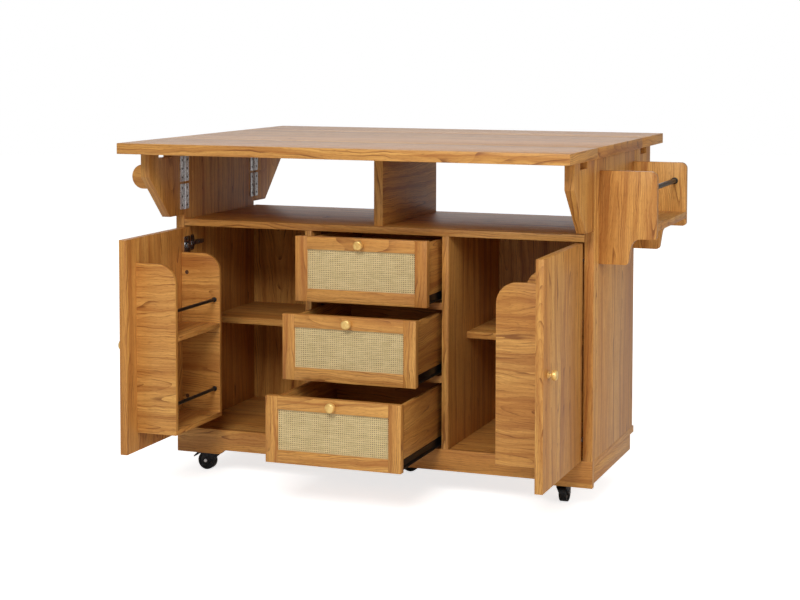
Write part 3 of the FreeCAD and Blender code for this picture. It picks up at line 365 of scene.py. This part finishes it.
cane, tree, out = new_material("woven_cane")
place = add(tree, "TexCoord").outputs["Object"]
stretched = add(tree, "VectorMath", {0: place, 1: (40.0, 1.0, 420.0)}, operation="MULTIPLY").outputs[0]
straw = stained(tree, "#dcc592", grain_noise(tree, stretched, 1.0), 0.40, 0.66, 0.4, "#b09660")
straw = stained(tree, straw, grain_noise(tree, place, 30.0), 0.45, 0.70, 0.15, "#a08552")
split = add(tree, "Bump", {"Strength": 0.4, "Distance": 0.0003, "Height": grain_noise(tree, place, 1800.0)})
strand = add(tree, "BsdfPrincipled", {"Base Color": straw, "Normal": split.outputs[0], "Roughness": 0.52})
tree.links.new(strand.outputs[0], out.inputs["Surface"])

# The sheet behind the weave is painted shade: it is dark so that the gaps between strands read as shaded
# holes.
shade_sheet, tree, out = new_material("painted_shade_sheet")
place = add(tree, "TexCoord").outputs["Object"]
shade = stained(tree, "#4a3c24", grain_noise(tree, place, 900.0), 0.35, 0.65, 1.0, "#2e2414")
shade_sheet_shader = add(tree, "BsdfPrincipled", {"Base Color": shade, "Roughness": 0.9})
tree.links.new(shade_sheet_shader.outputs[0], out.inputs["Surface"])

STRAND_JOG = 0.0003
weave = bpy.data.node_groups.new("cane_weave", "GeometryNodeTree")
sockets = {}
for name, kind, value in (
    ("Width", "Float", 0.304),
    ("Height", "Float", 0.111),
    ("Pitch", "Float", 0.0050),
    ("Strand", "Float", 0.0031),
    ("Thickness", "Float", 0.0007),
    ("Depth", "Float", 0.0008),
    ("Wander", "Float", 0.0022),
    ("Seed", "Int", 5),
    ("Material", "Material", cane),
):
    sockets[name] = weave.interface.new_socket(name, in_out="INPUT", socket_type="NodeSocket" + kind)
    sockets[name].default_value = value
weave.interface.new_socket("Mesh", in_out="OUTPUT", socket_type="NodeSocketGeometry")
given = add(weave, "NodeGroupInput").outputs
half_pitch = add(weave, "Math", {0: given["Pitch"], 1: 0.5}, operation="MULTIPLY").outputs[0]
two_pitches = add(weave, "Math", {0: given["Pitch"], 1: 2.0}, operation="MULTIPLY").outputs[0]
section = add(weave, "GeometryNodeCurvePrimitiveQuadrilateral", {0: given["Strand"], 1: given["Thickness"]})
step_number = add(weave, "GeometryNodeInputIndex").outputs[0]
gathered = add(weave, "GeometryNodeJoinGeometry")
for length, spread, turn, way in (("Width", "Height", 0.0, 0), ("Height", "Width", math.pi / 2, 1)):
    for odd in (0, 1):
        # One strand: a line that dips under and over, swept with the flat section.
        steps = add(weave, "Math", {0: given[length], 1: half_pitch}, operation="DIVIDE").outputs[0]
        stride = add(weave, "CombineXYZ", {0: half_pitch}).outputs[0]
        half_back = add(weave, "Math", {0: given[length], 1: -0.5}, operation="MULTIPLY").outputs[0]
        start = add(weave, "CombineXYZ", {0: half_back}).outputs[0]
        along = {"Count": steps, "Start Location": start, "Offset": stride}
        line = add(weave, "GeometryNodeMeshLine", along)
        quarter_turns = {0: step_number, 1: math.pi / 2, 2: math.pi * (odd + way)}
        phase = add(weave, "Math", quarter_turns, operation="MULTIPLY_ADD").outputs[0]
        wave = add(weave, "Math", {0: phase}, operation="COSINE").outputs[0]
        lift = add(weave, "Math", {0: wave, 1: given["Depth"]}, operation="MULTIPLY").outputs[0]
        dip = add(weave, "CombineXYZ", {2: lift}).outputs[0]
        wavy = add(weave, "GeometryNodeSetPosition", {"Geometry": line.outputs[0], "Offset": dip}).outputs[0]
        curve = add(weave, "GeometryNodeMeshToCurve", {0: wavy}).outputs[0]
        upright = add(weave, "GeometryNodeSetCurveNormal", {0: curve}).outputs[0]
        swept = add(weave, "GeometryNodeCurveToMesh", {0: upright, 1: section.outputs[0]}).outputs[0]
        # Every second row of the panel takes a copy, and the rows between take the other parity.
        rows = add(weave, "Math", {0: given[spread], 1: two_pitches}, operation="DIVIDE").outputs[0]
        across = add(weave, "Math", {0: given[spread], 1: -0.5}, operation="MULTIPLY").outputs[0]
        skip = {0: given["Pitch"], 1: float(odd), 2: across}
        first = add(weave, "Math", skip, operation="MULTIPLY_ADD").outputs[0]
        row_start = add(weave, "CombineXYZ", {1 - way: first}).outputs[0]
        row_step = add(weave, "CombineXYZ", {1 - way: two_pitches}).outputs[0]
        spacing = {"Count": rows, "Start Location": row_start, "Offset": row_step}
        line = add(weave, "GeometryNodeMeshLine", spacing).outputs[0]
        limits = {0: (-STRAND_JOG,) * 3, 1: (STRAND_JOG,) * 3, "Seed": given["Seed"]}
        jog = add(weave, "FunctionNodeRandomValue", limits, data_type="FLOAT_VECTOR").outputs[0]
        placed = add(weave, "GeometryNodeSetPosition", {"Geometry": line, "Offset": jog}).outputs[0]
        laid = {"Points": placed, "Instance": swept, "Rotation": (0.0, 0.0, turn)}
        copies = add(weave, "GeometryNodeInstanceOnPoints", laid)
        weave.links.new(copies.outputs[0], gathered.inputs[0])
plain = add(weave, "GeometryNodeRealizeInstances", {0: gathered.outputs[0]}).outputs[0]
spot = add(weave, "GeometryNodeInputPosition").outputs[0]
drift = add(weave, "TexNoise", {"Vector": spot, "Scale": 22.0, "Detail": 1.0}).outputs[1]
centred = add(weave, "VectorMath", {0: drift, 1: (0.5, 0.5, 0.5)}, operation="SUBTRACT").outputs[0]
wander = add(weave, "VectorMath", {0: centred, "Scale": given["Wander"]}, operation="SCALE").outputs[0]
flat_wander = add(weave, "VectorMath", {0: wander, 1: (1.0, 0.25, 0.0)}, operation="MULTIPLY").outputs[0]
loose = add(weave, "GeometryNodeSetPosition", {"Geometry": plain, "Offset": flat_wander}).outputs[0]
dressed = add(weave, "GeometryNodeSetMaterial", {0: loose, "Material": given["Material"]}).outputs[0]
add(weave, "NodeGroupOutput", {0: dressed})

WEAVE_FORWARD = 0.0002
SHADE_SHEET_BACK = 0.0022
FIRST_SEED = 5
for number, tier in enumerate(DRAWERS):
    (x0, y0, z0), (x1, y1, z1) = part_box("cane_panel_" + tier)
    carrier = bpy.data.objects.new("carrier", bpy.data.meshes.new("carrier"))
    bpy.context.scene.collection.objects.link(carrier)
    carrier.modifiers.new("weave", "NODES").node_group = weave
    carrier.modifiers["weave"][sockets["Seed"].identifier] = FIRST_SEED + number
    woven = bpy.data.meshes.new_from_object(carrier.evaluated_get(bpy.context.evaluated_depsgraph_get()))
    bpy.data.objects.remove(carrier)
    middle = ((x0 + x1) / 2, y0 + WEAVE_FORWARD, (z0 + z1) / 2)
    woven.transform(Matrix.Translation(middle) @ Matrix.Rotation(math.pi / 2, 4, "X"))
    panel = mesh_object("cane_weave_" + tier, woven, cane, smooth=60)
    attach(panel, "drawer_" + tier)
    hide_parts("cane_panel_" + tier)
    # Behind the weave, a dark sheet of painted shade fills the panel's box, standing for the shade seen
    # through the gaps.
    bm = block((x0, y0 + SHADE_SHEET_BACK, z0), (x1, y1, z1), X, radius=0.0002)
    backing = bpy.data.meshes.new("cane_painted_shade")
    bm.to_mesh(backing)
    bm.free()
    shade_sheet_piece = mesh_object("cane_backing_" + tier, backing, shade_sheet)
    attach(shade_sheet_piece, "drawer_" + tier)


# ---- Knobs: turned, a narrow neck on a small foot and a flat rounded head, satin gold.
def rounded(corners, closed=True, steps=4):
    """An outline through (x, y, radius) corners, with a curve at each corner that has a radius."""
    points = []
    for number, (x, y, radius) in enumerate(corners):
        here = Vector((x, y))
        if radius == 0 or (not closed and number in (0, len(corners) - 1)):
            points.append(here)
            continue
        back = Vector(corners[number - 1][:2]) - here
        ahead = Vector(corners[(number + 1) % len(corners)][:2]) - here
        reach = min(radius / math.tan(back.angle(ahead) / 2), back.length / 2, ahead.length / 2)
        start, end = here + back.normalized() * reach, here + ahead.normalized() * reach
        for step in range(steps + 1):
            t = step / steps
            points.append(start.lerp(here, t).lerp(here.lerp(end, t), t))
    return points


def facing(spot, way):
    """Places a form that stands on Z so that it stands on a spot and points a given way."""
    return Matrix.Translation(spot) @ Vector(way).to_track_quat("Z", "Y").to_matrix().to_4x4()


def turned(bm, profile, place, segments=36):
    """Adds a lathe form: (radius, height, rounding) corners in millimetres, turned about Z."""
    rings = []
    for point in rounded(profile, closed=False):
        count = 1 if point.x < 0.001 else segments
        angles = [2 * math.pi * i / segments for i in range(count)]
        spots = [Vector((point.x * math.cos(a), point.x * math.sin(a), point.y)) / 1000 for a in angles]
        rings.append([bm.verts.new(place @ spot) for spot in spots])
    for low, high in zip(rings, rings[1:]):
        for i in range(segments):
            j = (i + 1) % segments
            corners = (low[i % len(low)], low[j % len(low)], high[j % len(high)], high[i % len(high)])
            if len(low) + len(high) > 2:
                bm.faces.new(list(dict.fromkeys(corners)))


def plate(bm, corners, low, high, place=Matrix(), radius=0.4):
    """Adds a plate in millimetres: an outline of (x, y, rounding) corners from low to high in Z."""
    outline = rounded(corners)
    bottom, top = ([bm.verts.new(place @ (Vector((*p, z)) / 1000)) for p in outline] for z in (low, high))
    caps = [bm.faces.new(bottom[::-1]), bm.faces.new(top)]
    for i in range(len(outline)):
        bm.faces.new((bottom[i - 1], bottom[i], top[i], top[i - 1]))
    rim = list({edge for cap in caps for edge in cap.edges})
    bmesh.ops.bevel(bm, geom=rim, offset=radius / 1000, **EASING)


def made(name, bm, material, body, node=None, smooth=35):
    """Finishes a piece built in a bmesh: faces outward, on its body, standing for its CAD node."""
    bmesh.ops.recalc_face_normals(bm, faces=bm.faces)
    mesh = bpy.data.meshes.new(name)
    bm.to_mesh(mesh)
    bm.free()
    piece = mesh_object(name, mesh, material, smooth)
    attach(piece, body)
    if node:
        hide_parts(node)


def coated(name, colour, worn, metallic, gloss, scale, bump):
    """A metal or plastic whose colour, gloss and surface all drift a little over the part."""
    material, tree, out = new_material(name)
    place = add(tree, "TexCoord").outputs["Object"]
    cloud = grain_noise(tree, place, scale, 3.0)
    shade = stained(tree, colour, cloud, 0.42, 0.72, 1.0, worn)
    patches = grain_noise(tree, place, scale * 4)
    shine = add(tree, "MapRange", {0: patches, 1: 0.3, 2: 0.7, 3: gloss[0], 4: gloss[1]})
    pits = grain_noise(tree, place, scale * 12)
    skin = add(tree, "Bump", {"Strength": bump, "Distance": 0.0002, "Height": pits})
    inputs = {"Base Color": shade, "Roughness": shine.outputs[0], "Normal": skin.outputs[0]}
    shader = add(tree, "BsdfPrincipled", {**inputs, "Metallic": metallic})
    tree.links.new(shader.outputs[0], out.inputs["Surface"])
    return material


gold = coated("satin_gold", "#f4cd80", "#dba755", 0.40, (0.30, 0.42), 90.0, 0.15)
KNOB = (
    (0, 0, 0), (8, 0, 0.3), (8, 2.5, 0.8), (4.6, 4, 2),
    (4.5, 9.5, 2.5), (12.5, 11.2, 1.8), (12.5, 22, 5), (0, 22, 0),
)
KNOB_STAND = 0.022
for name in ["drawer_knob_" + tier for tier in DRAWERS] + ["door_knob_left", "door_knob_right"]:
    (x0, y0, z0), (x1, y1, z1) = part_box(name)
    middle = Vector((x0 + x1, y0 + y1, z0 + z1)) / 2
    way = (0, -1, 0) if name.startswith("drawer") else (-1 if x1 < 0 else 1, 0, 0)
    bm = bmesh.new()
    turned(bm, KNOB, facing(middle - Vector(way) * KNOB_STAND / 2, way), segments=48)
    made("turned_" + name, bm, gold, frame["nodes"][name]["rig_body"], name)

# ---- Rods: black powder-coated tube across the door racks, the spice rack and the towel bar.
# Each end sits in a small black collar screwed to the board.
RACK_ROD_X = 0.440
RACK_ROD_HEIGHTS = (0.247, 0.487)
RACK_NEAR, RACK_FAR = -0.245, -0.482
SIDE_ROD_HEIGHT = 0.804
RACK_ROD = ((0, 0, 0), (4.5, 0, 0), (4.5, 237, 0), (0, 237, 0))
RACK_COLLAR = ((0, 0, 0), (6.8, 0, 0), (6.8, 5, 1.2), (0, 5, 0))
SIDE_COLLAR = ((0, 0, 0), (9, 0, 0), (9, 6, 1.5), (0, 6, 0))
black = coated("black_powder_coat", "#0c0c0c", "#191919", 0.0, (0.30, 0.45), 140.0, 0.25)
for side, sign in (("left", -1), ("right", 1)):
    bm = bmesh.new()
    for height in RACK_ROD_HEIGHTS:
        turned(bm, RACK_ROD, facing((sign * RACK_ROD_X, RACK_NEAR, height), (0, -1, 0)), segments=24)
        for y, way in ((RACK_NEAR, -1), (RACK_FAR, 1)):
            turned(bm, RACK_COLLAR, facing((sign * RACK_ROD_X, y, height), (0, way, 0)), segments=24)
    made("rack_rods_" + side, bm, black, "door_" + side, "door_fittings_" + side)
bm = bmesh.new()
for x, near, far in ((-0.699, -0.149, 0.231), (0.699, -0.118, 0.231)):
    length = (far - near) * 1000
    side_rod = ((0, 0, 0), (6.5, 0, 0), (6.5, length, 0), (0, length, 0))
    turned(bm, side_rod, facing((x, near, SIDE_ROD_HEIGHT), (0, 1, 0)))
    for y, way in ((near, 1), (far, -1)):
        turned(bm, SIDE_COLLAR, facing((x, y, SIDE_ROD_HEIGHT), (0, way, 0)))
made("side_rods", bm, black, "cabinet", "rack_rods")

# ---- Runners: an angle of black steel under each drawer side, in a channel screwed to the bay.
# The rollers are hidden and left out. The sheet's edges are rolled.
SHEET_EDGE = 0.0004


def eased_piece(name, node, material, radius):
    """A CAD node's solids with their sharp edges rounded, in another material."""
    bm = bmesh.new()
    for solid in solids(node):
        ease(solid, radius)
        part = bpy.data.meshes.new("part")
        solid.to_mesh(part)
        solid.free()
        bm.from_mesh(part)
    made(name, bm, material, frame["nodes"][node]["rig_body"], node, smooth=30)


eased_piece("bay_channels", "runner_channels", black, SHEET_EDGE)
for tier in DRAWERS:
    eased_piece("slides_" + tier, "drawer_slides_" + tier, black, SHEET_EDGE)

# ---- Butt hinges: bright nickel leaves, three knuckles of one and two of the other on a pin.
# Each leaf is held by countersunk screws. They carry the brackets and tie the leaves to the top.
nickel = coated("bright_nickel", "#e6e7e9", "#c3c5c8", 0.55, (0.22, 0.38), 120.0, 0.15)
screw_steel = coated("screw_steel", "#5c5d60", "#3a3b3e", 0.9, (0.25, 0.4), 300.0, 0.2)


HEAD = ((0, -0.8, 0), (2.4, -0.8, 0), (3.2, 0.25, 0.2), (2.9, 0.45, 0.1), (1.9, 0.5, 0))
RECESS_DEPTH = 0.0009


def screw_head():
    """A countersunk head with a real cross recess, 6.4 mm wide, standing on Z."""
    bm = bmesh.new()
    turned(bm, HEAD, Matrix(), segments=16)
    rim = [edge for edge in bm.edges if edge.is_boundary]
    cross = []
    for quarter in range(4):
        turn = Matrix.Rotation(quarter * math.pi / 2, 4, "Z")
        for x, y in ((1.5, -0.32), (1.5, 0.32), (0.32, 0.32)):
            cross.append(turn @ (Vector((x, y, 0.42)) / 1000))
    ring = [bm.verts.new(spot) for spot in cross]
    inner = [bm.edges.new((ring[i - 1], ring[i])) for i in range(12)]
    bmesh.ops.bridge_loops(bm, edges=rim + inner)
    floor = [bm.verts.new(spot - Vector((0, 0, RECESS_DEPTH))) for spot in cross]
    for i in range(12):
        bm.faces.new((ring[i - 1], ring[i], floor[i], floor[i - 1]))
    bm.faces.new(floor)
    bmesh.ops.recalc_face_normals(bm, faces=bm.faces)
    mesh = bpy.data.meshes.new("screw_head")
    bm.to_mesh(mesh)
    bm.free()
    return mesh_object("screw_head", mesh, screw_steel)


head = screw_head()
screwing = bpy.data.node_groups.new("screws_on_points", "GeometryNodeTree")
screw_sockets = {}
for name, kind in (
    ("Points", "Geometry"),
    ("Head", "Object"),
    ("Scale", "Float"),
    ("Seed", "Int"),
    ("Material", "Material"),
):
    socket = screwing.interface.new_socket(name, in_out="INPUT", socket_type="NodeSocket" + kind)
    screw_sockets[name] = socket
screwing.interface.new_socket("Mesh", in_out="OUTPUT", socket_type="NodeSocketGeometry")
given = add(screwing, "NodeGroupInput").outputs
aim = add(screwing, "GeometryNodeInputNamedAttribute", {0: "aim"}, data_type="FLOAT_VECTOR").outputs[0]
stood = add(screwing, "FunctionNodeAlignRotationToVector", {"Vector": aim}, axis="Z").outputs[0]
limits = {2: 0.0, 3: 1.5, "Seed": given["Seed"]}
any_angle = add(screwing, "FunctionNodeRandomValue", limits, data_type="FLOAT").outputs[1]
any_turn = add(screwing, "CombineXYZ", {2: any_angle}).outputs[0]
model = add(screwing, "GeometryNodeObjectInfo", {"Object": given["Head"]}).outputs["Geometry"]
placing = {"Points": given["Points"], "Instance": model, "Rotation": stood, "Scale": given["Scale"]}
put = add(screwing, "GeometryNodeInstanceOnPoints", placing).outputs[0]
spun = add(screwing, "GeometryNodeRotateInstances", {"Instances": put, "Rotation": any_turn}).outputs[0]
plain = add(screwing, "GeometryNodeRealizeInstances", {0: spun}).outputs[0]
dressed = add(screwing, "GeometryNodeSetMaterial", {0: plain, "Material": given["Material"]}).outputs[0]
add(screwing, "NodeGroupOutput", {0: dressed})


def screws(name, body, places, scale=1.0):
    """Cross-recessed screw heads at (spot, way) places in metres, as one mesh on one body."""
    points = bpy.data.meshes.new("points")
    points.from_pydata([spot for spot, way in places], [], [])
    aims = [value for spot, way in places for value in way]
    points.attributes.new("aim", "FLOAT_VECTOR", "POINT").data.foreach_set("vector", aims)
    carrier = bpy.data.objects.new("carrier", points)
    bpy.context.scene.collection.objects.link(carrier)
    screwed = carrier.modifiers.new("screws", "NODES")
    screwed.node_group = screwing
    for key, value in (("Head", head), ("Scale", scale), ("Seed", len(places)), ("Material", screw_steel)):
        screwed[screw_sockets[key].identifier] = value
    mesh = bpy.data.meshes.new_from_object(carrier.evaluated_get(bpy.context.evaluated_depsgraph_get()))
    bpy.data.objects.remove(carrier)
    piece = mesh_object(name, mesh, screw_steel, smooth=40)
    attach(piece, body)


KNUCKLES = 5
KNUCKLE_GAP = 0.3
LEAF_TIP = 24
LEAF_SCREWS = (0.16, 0.5, 0.84)
BRACKET_LEAF = 69
FLAP_LEAF = 90


def hinge_leaf(bm, centre, leaf_way, wood_way, length, odd):
    """One leaf beside its pin, flat on the wood, with every second knuckle: returns its screws."""
    pin_way = Vector(leaf_way).cross(Vector(wood_way))
    place = Matrix((leaf_way, wood_way, pin_way)).transposed().to_4x4()
    place.translation = Vector(centre) - pin_way * length / 2000
    outline = ((3.2, 0, 0.4), (LEAF_TIP, 0, 2.5), (LEAF_TIP, length, 2.5), (3.2, length, 0.4))
    plate(bm, outline, -3, -1.1, place @ Matrix.Rotation(math.pi / 2, 4, "X"), 0.25)
    step = length / KNUCKLES
    for number in range(odd, KNUCKLES, 2):
        low, high = number * step + KNUCKLE_GAP, (number + 1) * step - KNUCKLE_GAP
        turned(bm, ((0, low, 0), (2.9, low, 0.3), (2.9, high, 0.3), (0, high, 0)), place, segments=20)
    rows = [length * part for part in LEAF_SCREWS]
    return [(place @ (Vector((14.5, 1.0, row)) / 1000), -Vector(wood_way)) for row in rows]


cabinet_leaves = bmesh.new()
cabinet_screws = []
for side, sign in (("left", -1), ("right", 1)):
    for end, y, away in (("front", -0.187, -1), ("back", 0.253, 1)):
        swinging = bmesh.new()
        swinging_screws = []
        for height in (0.7555, 0.8315):
            pin = (sign * 0.556, y, height)
            wood = (sign, 0, 0)
            cabinet_screws += hinge_leaf(cabinet_leaves, pin, (0, -away, 0), wood, BRACKET_LEAF, 0)
            swinging_screws += hinge_leaf(swinging, pin, (0, away, 0), wood, BRACKET_LEAF, 1)
        body = "bracket_" + end + "_" + side
        made("leaves_" + body, swinging, nickel, body, "bracket_hinges_" + end + "_" + side)
        screws("screws_" + body, body, swinging_screws)
for x in (-0.250, 0.250):
    for y, away in ((-0.2171, -1), (0.2831, 1)):
        for way, odd in ((-away, 0), (away, 1)):
            pin = (x, y, 0.884)
            cabinet_screws += hinge_leaf(cabinet_leaves, pin, (0, way, 0), (0, 0, 1), FLAP_LEAF, odd)
made("leaves_cabinet", cabinet_leaves, nickel, "cabinet", "hinge_plates")
screws("screws_cabinet", "cabinet", cabinet_screws)


# ---- Concealed hinges: a pressed flange and cup in the door, a sprung arm on a winged plate.
# Nickel-plated pressings with black play in their slots. The link between them isn't modelled.
def wall(spot, sign):
    """Places a form on an upright face: X runs level, Y upwards and Z out of the face."""
    place = Matrix(((0, 0, sign), (sign, 0, 0), (0, 1, 0))).to_4x4()
    place.translation = spot
    return place


chrome = coated("hinge_chrome", "#a9aaad", "#4a4b4e", 0.95, (0.12, 0.28), 160.0, 0.1)
HINGE_HEIGHTS = (0.172, 0.626)
FLANGE = ((-17, -25, 6), (17, -25, 6), (17, 25, 6), (-17, 25, 6))
CUP_RIM = ((17, 0.8, 0), (16.6, 1.9, 0.6), (14.2, 1.9, 0.4), (13.2, 1.25, 0))
CUP_STUB = ((-8, -7, 2), (8, -7, 2), (8, 7, 2), (-8, 7, 2))
CUP_SCREWS = (-0.0205, 0.0205)
# The arm's outlines run from its front end at -X. The plate's wings hold its two screws.
WINGS = (
    (-36, 8, 3), (-30, 21, 3), (-8, 21, 3), (-2, 8, 3),
    (-2, -8, 3), (-8, -21, 3), (-30, -21, 3), (-36, -8, 3),
)
ARM = ((-35.5, 6.3, 2), (10, 6.3, 2), (35.5, 5, 2), (35.5, -5, 2), (10, -6.3, 2), (-35.5, -6.3, 2))
RIDGE = ((-20, 3, 1), (24, 3, 1), (24, -3, 1), (-20, -3, 1))
PRESSINGS = ((WINGS, 0, 1.9, 0.4), (ARM, 3.4, 10.8, 1.6), (RIDGE, 1.8, 3.6, 0.2))
ARM_SCREWS = ((-19, 15, 1.9), (-19, -15, 1.9), (-26, 0, 10.8), (6, 0, 10.8))
arms = bmesh.new()
arm_screws = []
for side, sign in (("left", -1), ("right", 1)):
    cups = bmesh.new()
    cup_screws = []
    for height in HINGE_HEIGHTS:
        place = wall((sign * 0.537, -0.2145, height), -sign)
        plate(cups, FLANGE, 0, 1.2, place, 0.4)
        turned(cups, CUP_RIM, place)
        plate(cups, CUP_STUB, 1, 8.5, place, 1.5)
        cup_screws += [(place @ Vector((0, y, 0.0012)), (-sign, 0, 0)) for y in CUP_SCREWS]
        place = wall((sign * 0.559, -0.128, height), -sign)
        for outline, low, high, radius in PRESSINGS:
            corners = [(-sign * x, y, corner) for x, y, corner in outline]
            plate(arms, corners, low, high, place, radius)
        for x, y, z in ARM_SCREWS:
            arm_screws.append((place @ (Vector((-sign * x, y, z)) / 1000), (-sign, 0, 0)))
    made("hinge_cups_" + side, cups, chrome, "door_" + side)
    screws("cup_screws_" + side, "door_" + side, cup_screws)
made("hinge_arms", arms, chrome, "cabinet", "door_hinge_arms")
screws("arm_screws", "cabinet", arm_screws, scale=0.9)


# ---- Fittings: screw caps on the door racks and cam heads on the drawer sides.
# Brown plastic, each in its own bored ring, as flat-pack furniture shows them.
cap_brown = coated("cap_brown", "#5d3a22", "#3c2413", 0.0, (0.35, 0.55), 200.0, 0.2)
CAP = ((0, 0, 0), (5.5, 0, 0), (5.5, 0.5, 0.3), (4.2, 0.5, 0.2), (3.6, 0.2, 0.1), (0, 0.2, 0))
CAP_HEIGHTS = (0.222, 0.557)
CAM_SETBACK = 0.041
CAM_HEIGHTS = (0.048, 0.127)
for side, sign in (("left", -1), ("right", 1)):
    bm = bmesh.new()
    for height in CAP_HEIGHTS:
        for y, way in ((RACK_NEAR, -1), (RACK_FAR, 1)):
            turned(bm, CAP, facing((sign * 0.522, y, height), (0, way, 0)), segments=28)
    made("rack_caps_" + side, bm, cap_brown, "door_" + side)
for tier in DRAWERS:
    (x0, y0, z0), (x1, y1, z1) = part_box("drawer_front_" + tier)
    bm = bmesh.new()
    for sign in (-1, 1):
        for height in CAM_HEIGHTS:
            spot = (sign * 0.170, y0 + CAM_SETBACK, z0 + height)
            turned(bm, CAP, facing(spot, (sign, 0, 0)), segments=28)
    made("cam_heads_" + tier, bm, cap_brown, "drawer_" + tier)

# ---- Casters: a stamped plate with a ball race, a fork, a hard black wheel and a brake pedal.
# The steel is dark zinc, bolted through the wheel. Four screws hold each plate to its block.
zinc = coated("dark_zinc", "#3a3b3e", "#1d1e20", 0.8, (0.28, 0.45), 150.0, 0.2)
tyre = coated("black_wheel", "#0b0b0c", "#1c1c1d", 0.0, (0.22, 0.40), 110.0, 0.2)
CAST_EDGE = 0.0005
eased_piece("plates_and_races", "caster_plates", zinc, SHEET_EDGE)
WHEEL = (
    (0, 1.6, 0), (5.5, 1.6, 0.4), (6.5, 0, 0.5), (9, 0, 0.6), (10, 2.6, 1), (18.6, 3, 1),
    (20.2, 0.4, 0.8), (22, 0, 1), (25, 0, 3.2), (25, 20, 3.2), (22, 20, 1), (20.2, 19.6, 0.8),
    (18.6, 17, 1), (10, 17.4, 1), (9, 20, 0.6), (6.5, 20, 0.5), (5.5, 18.4, 0.4), (0, 18.4, 0),
)
WHEEL_HALF = 0.010
NUT = [(5 * math.cos(i * math.pi / 3), 5 * math.sin(i * math.pi / 3), 0.4) for i in range(6)]
SCREW_OUT = 0.0165
plate_screws = []
for corner in ("front_left", "front_right", "back_left", "back_right", "centre"):
    low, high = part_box("caster_wheel_" + corner)
    middle = (low + high) / 2
    size = high - low
    way = Vector((1, 0, 0)) if size.x < size.y else Vector((0, 1, 0))
    bm = bmesh.new()
    turned(bm, WHEEL, facing(middle - way * WHEEL_HALF, way), segments=56)
    made("wheel_" + corner, bm, tyre, "wheel_" + corner, "caster_wheel_" + corner)
    eased_piece("fork_" + corner, "caster_fork_" + corner, zinc, CAST_EDGE)
    bm = bmesh.new()
    for sign in (-1, 1):
        plate(bm, NUT, 13.2, 15.6, facing(middle, way * sign), 0.5)
    made("axle_nuts_" + corner, bm, nickel, "fork_" + corner)
for x, y in ((-0.496, -0.142), (0.496, -0.142), (-0.496, 0.168), (0.496, 0.168), (0, 0.033)):
    for dx, dy in ((-1, -1), (-1, 1), (1, -1), (1, 1)):
        spot = (x + dx * SCREW_OUT, y + dy * SCREW_OUT, 0.0715)
        plate_screws.append((spot, (0, 0, -1)))
screws("plate_screws", "cabinet", plate_screws, scale=0.8)
for corner in ("front_left", "front_right"):
    eased_piece("pedal_" + corner, "brake_pedal_" + corner, tyre, CAST_EDGE)
bpy.data.objects.remove(head)
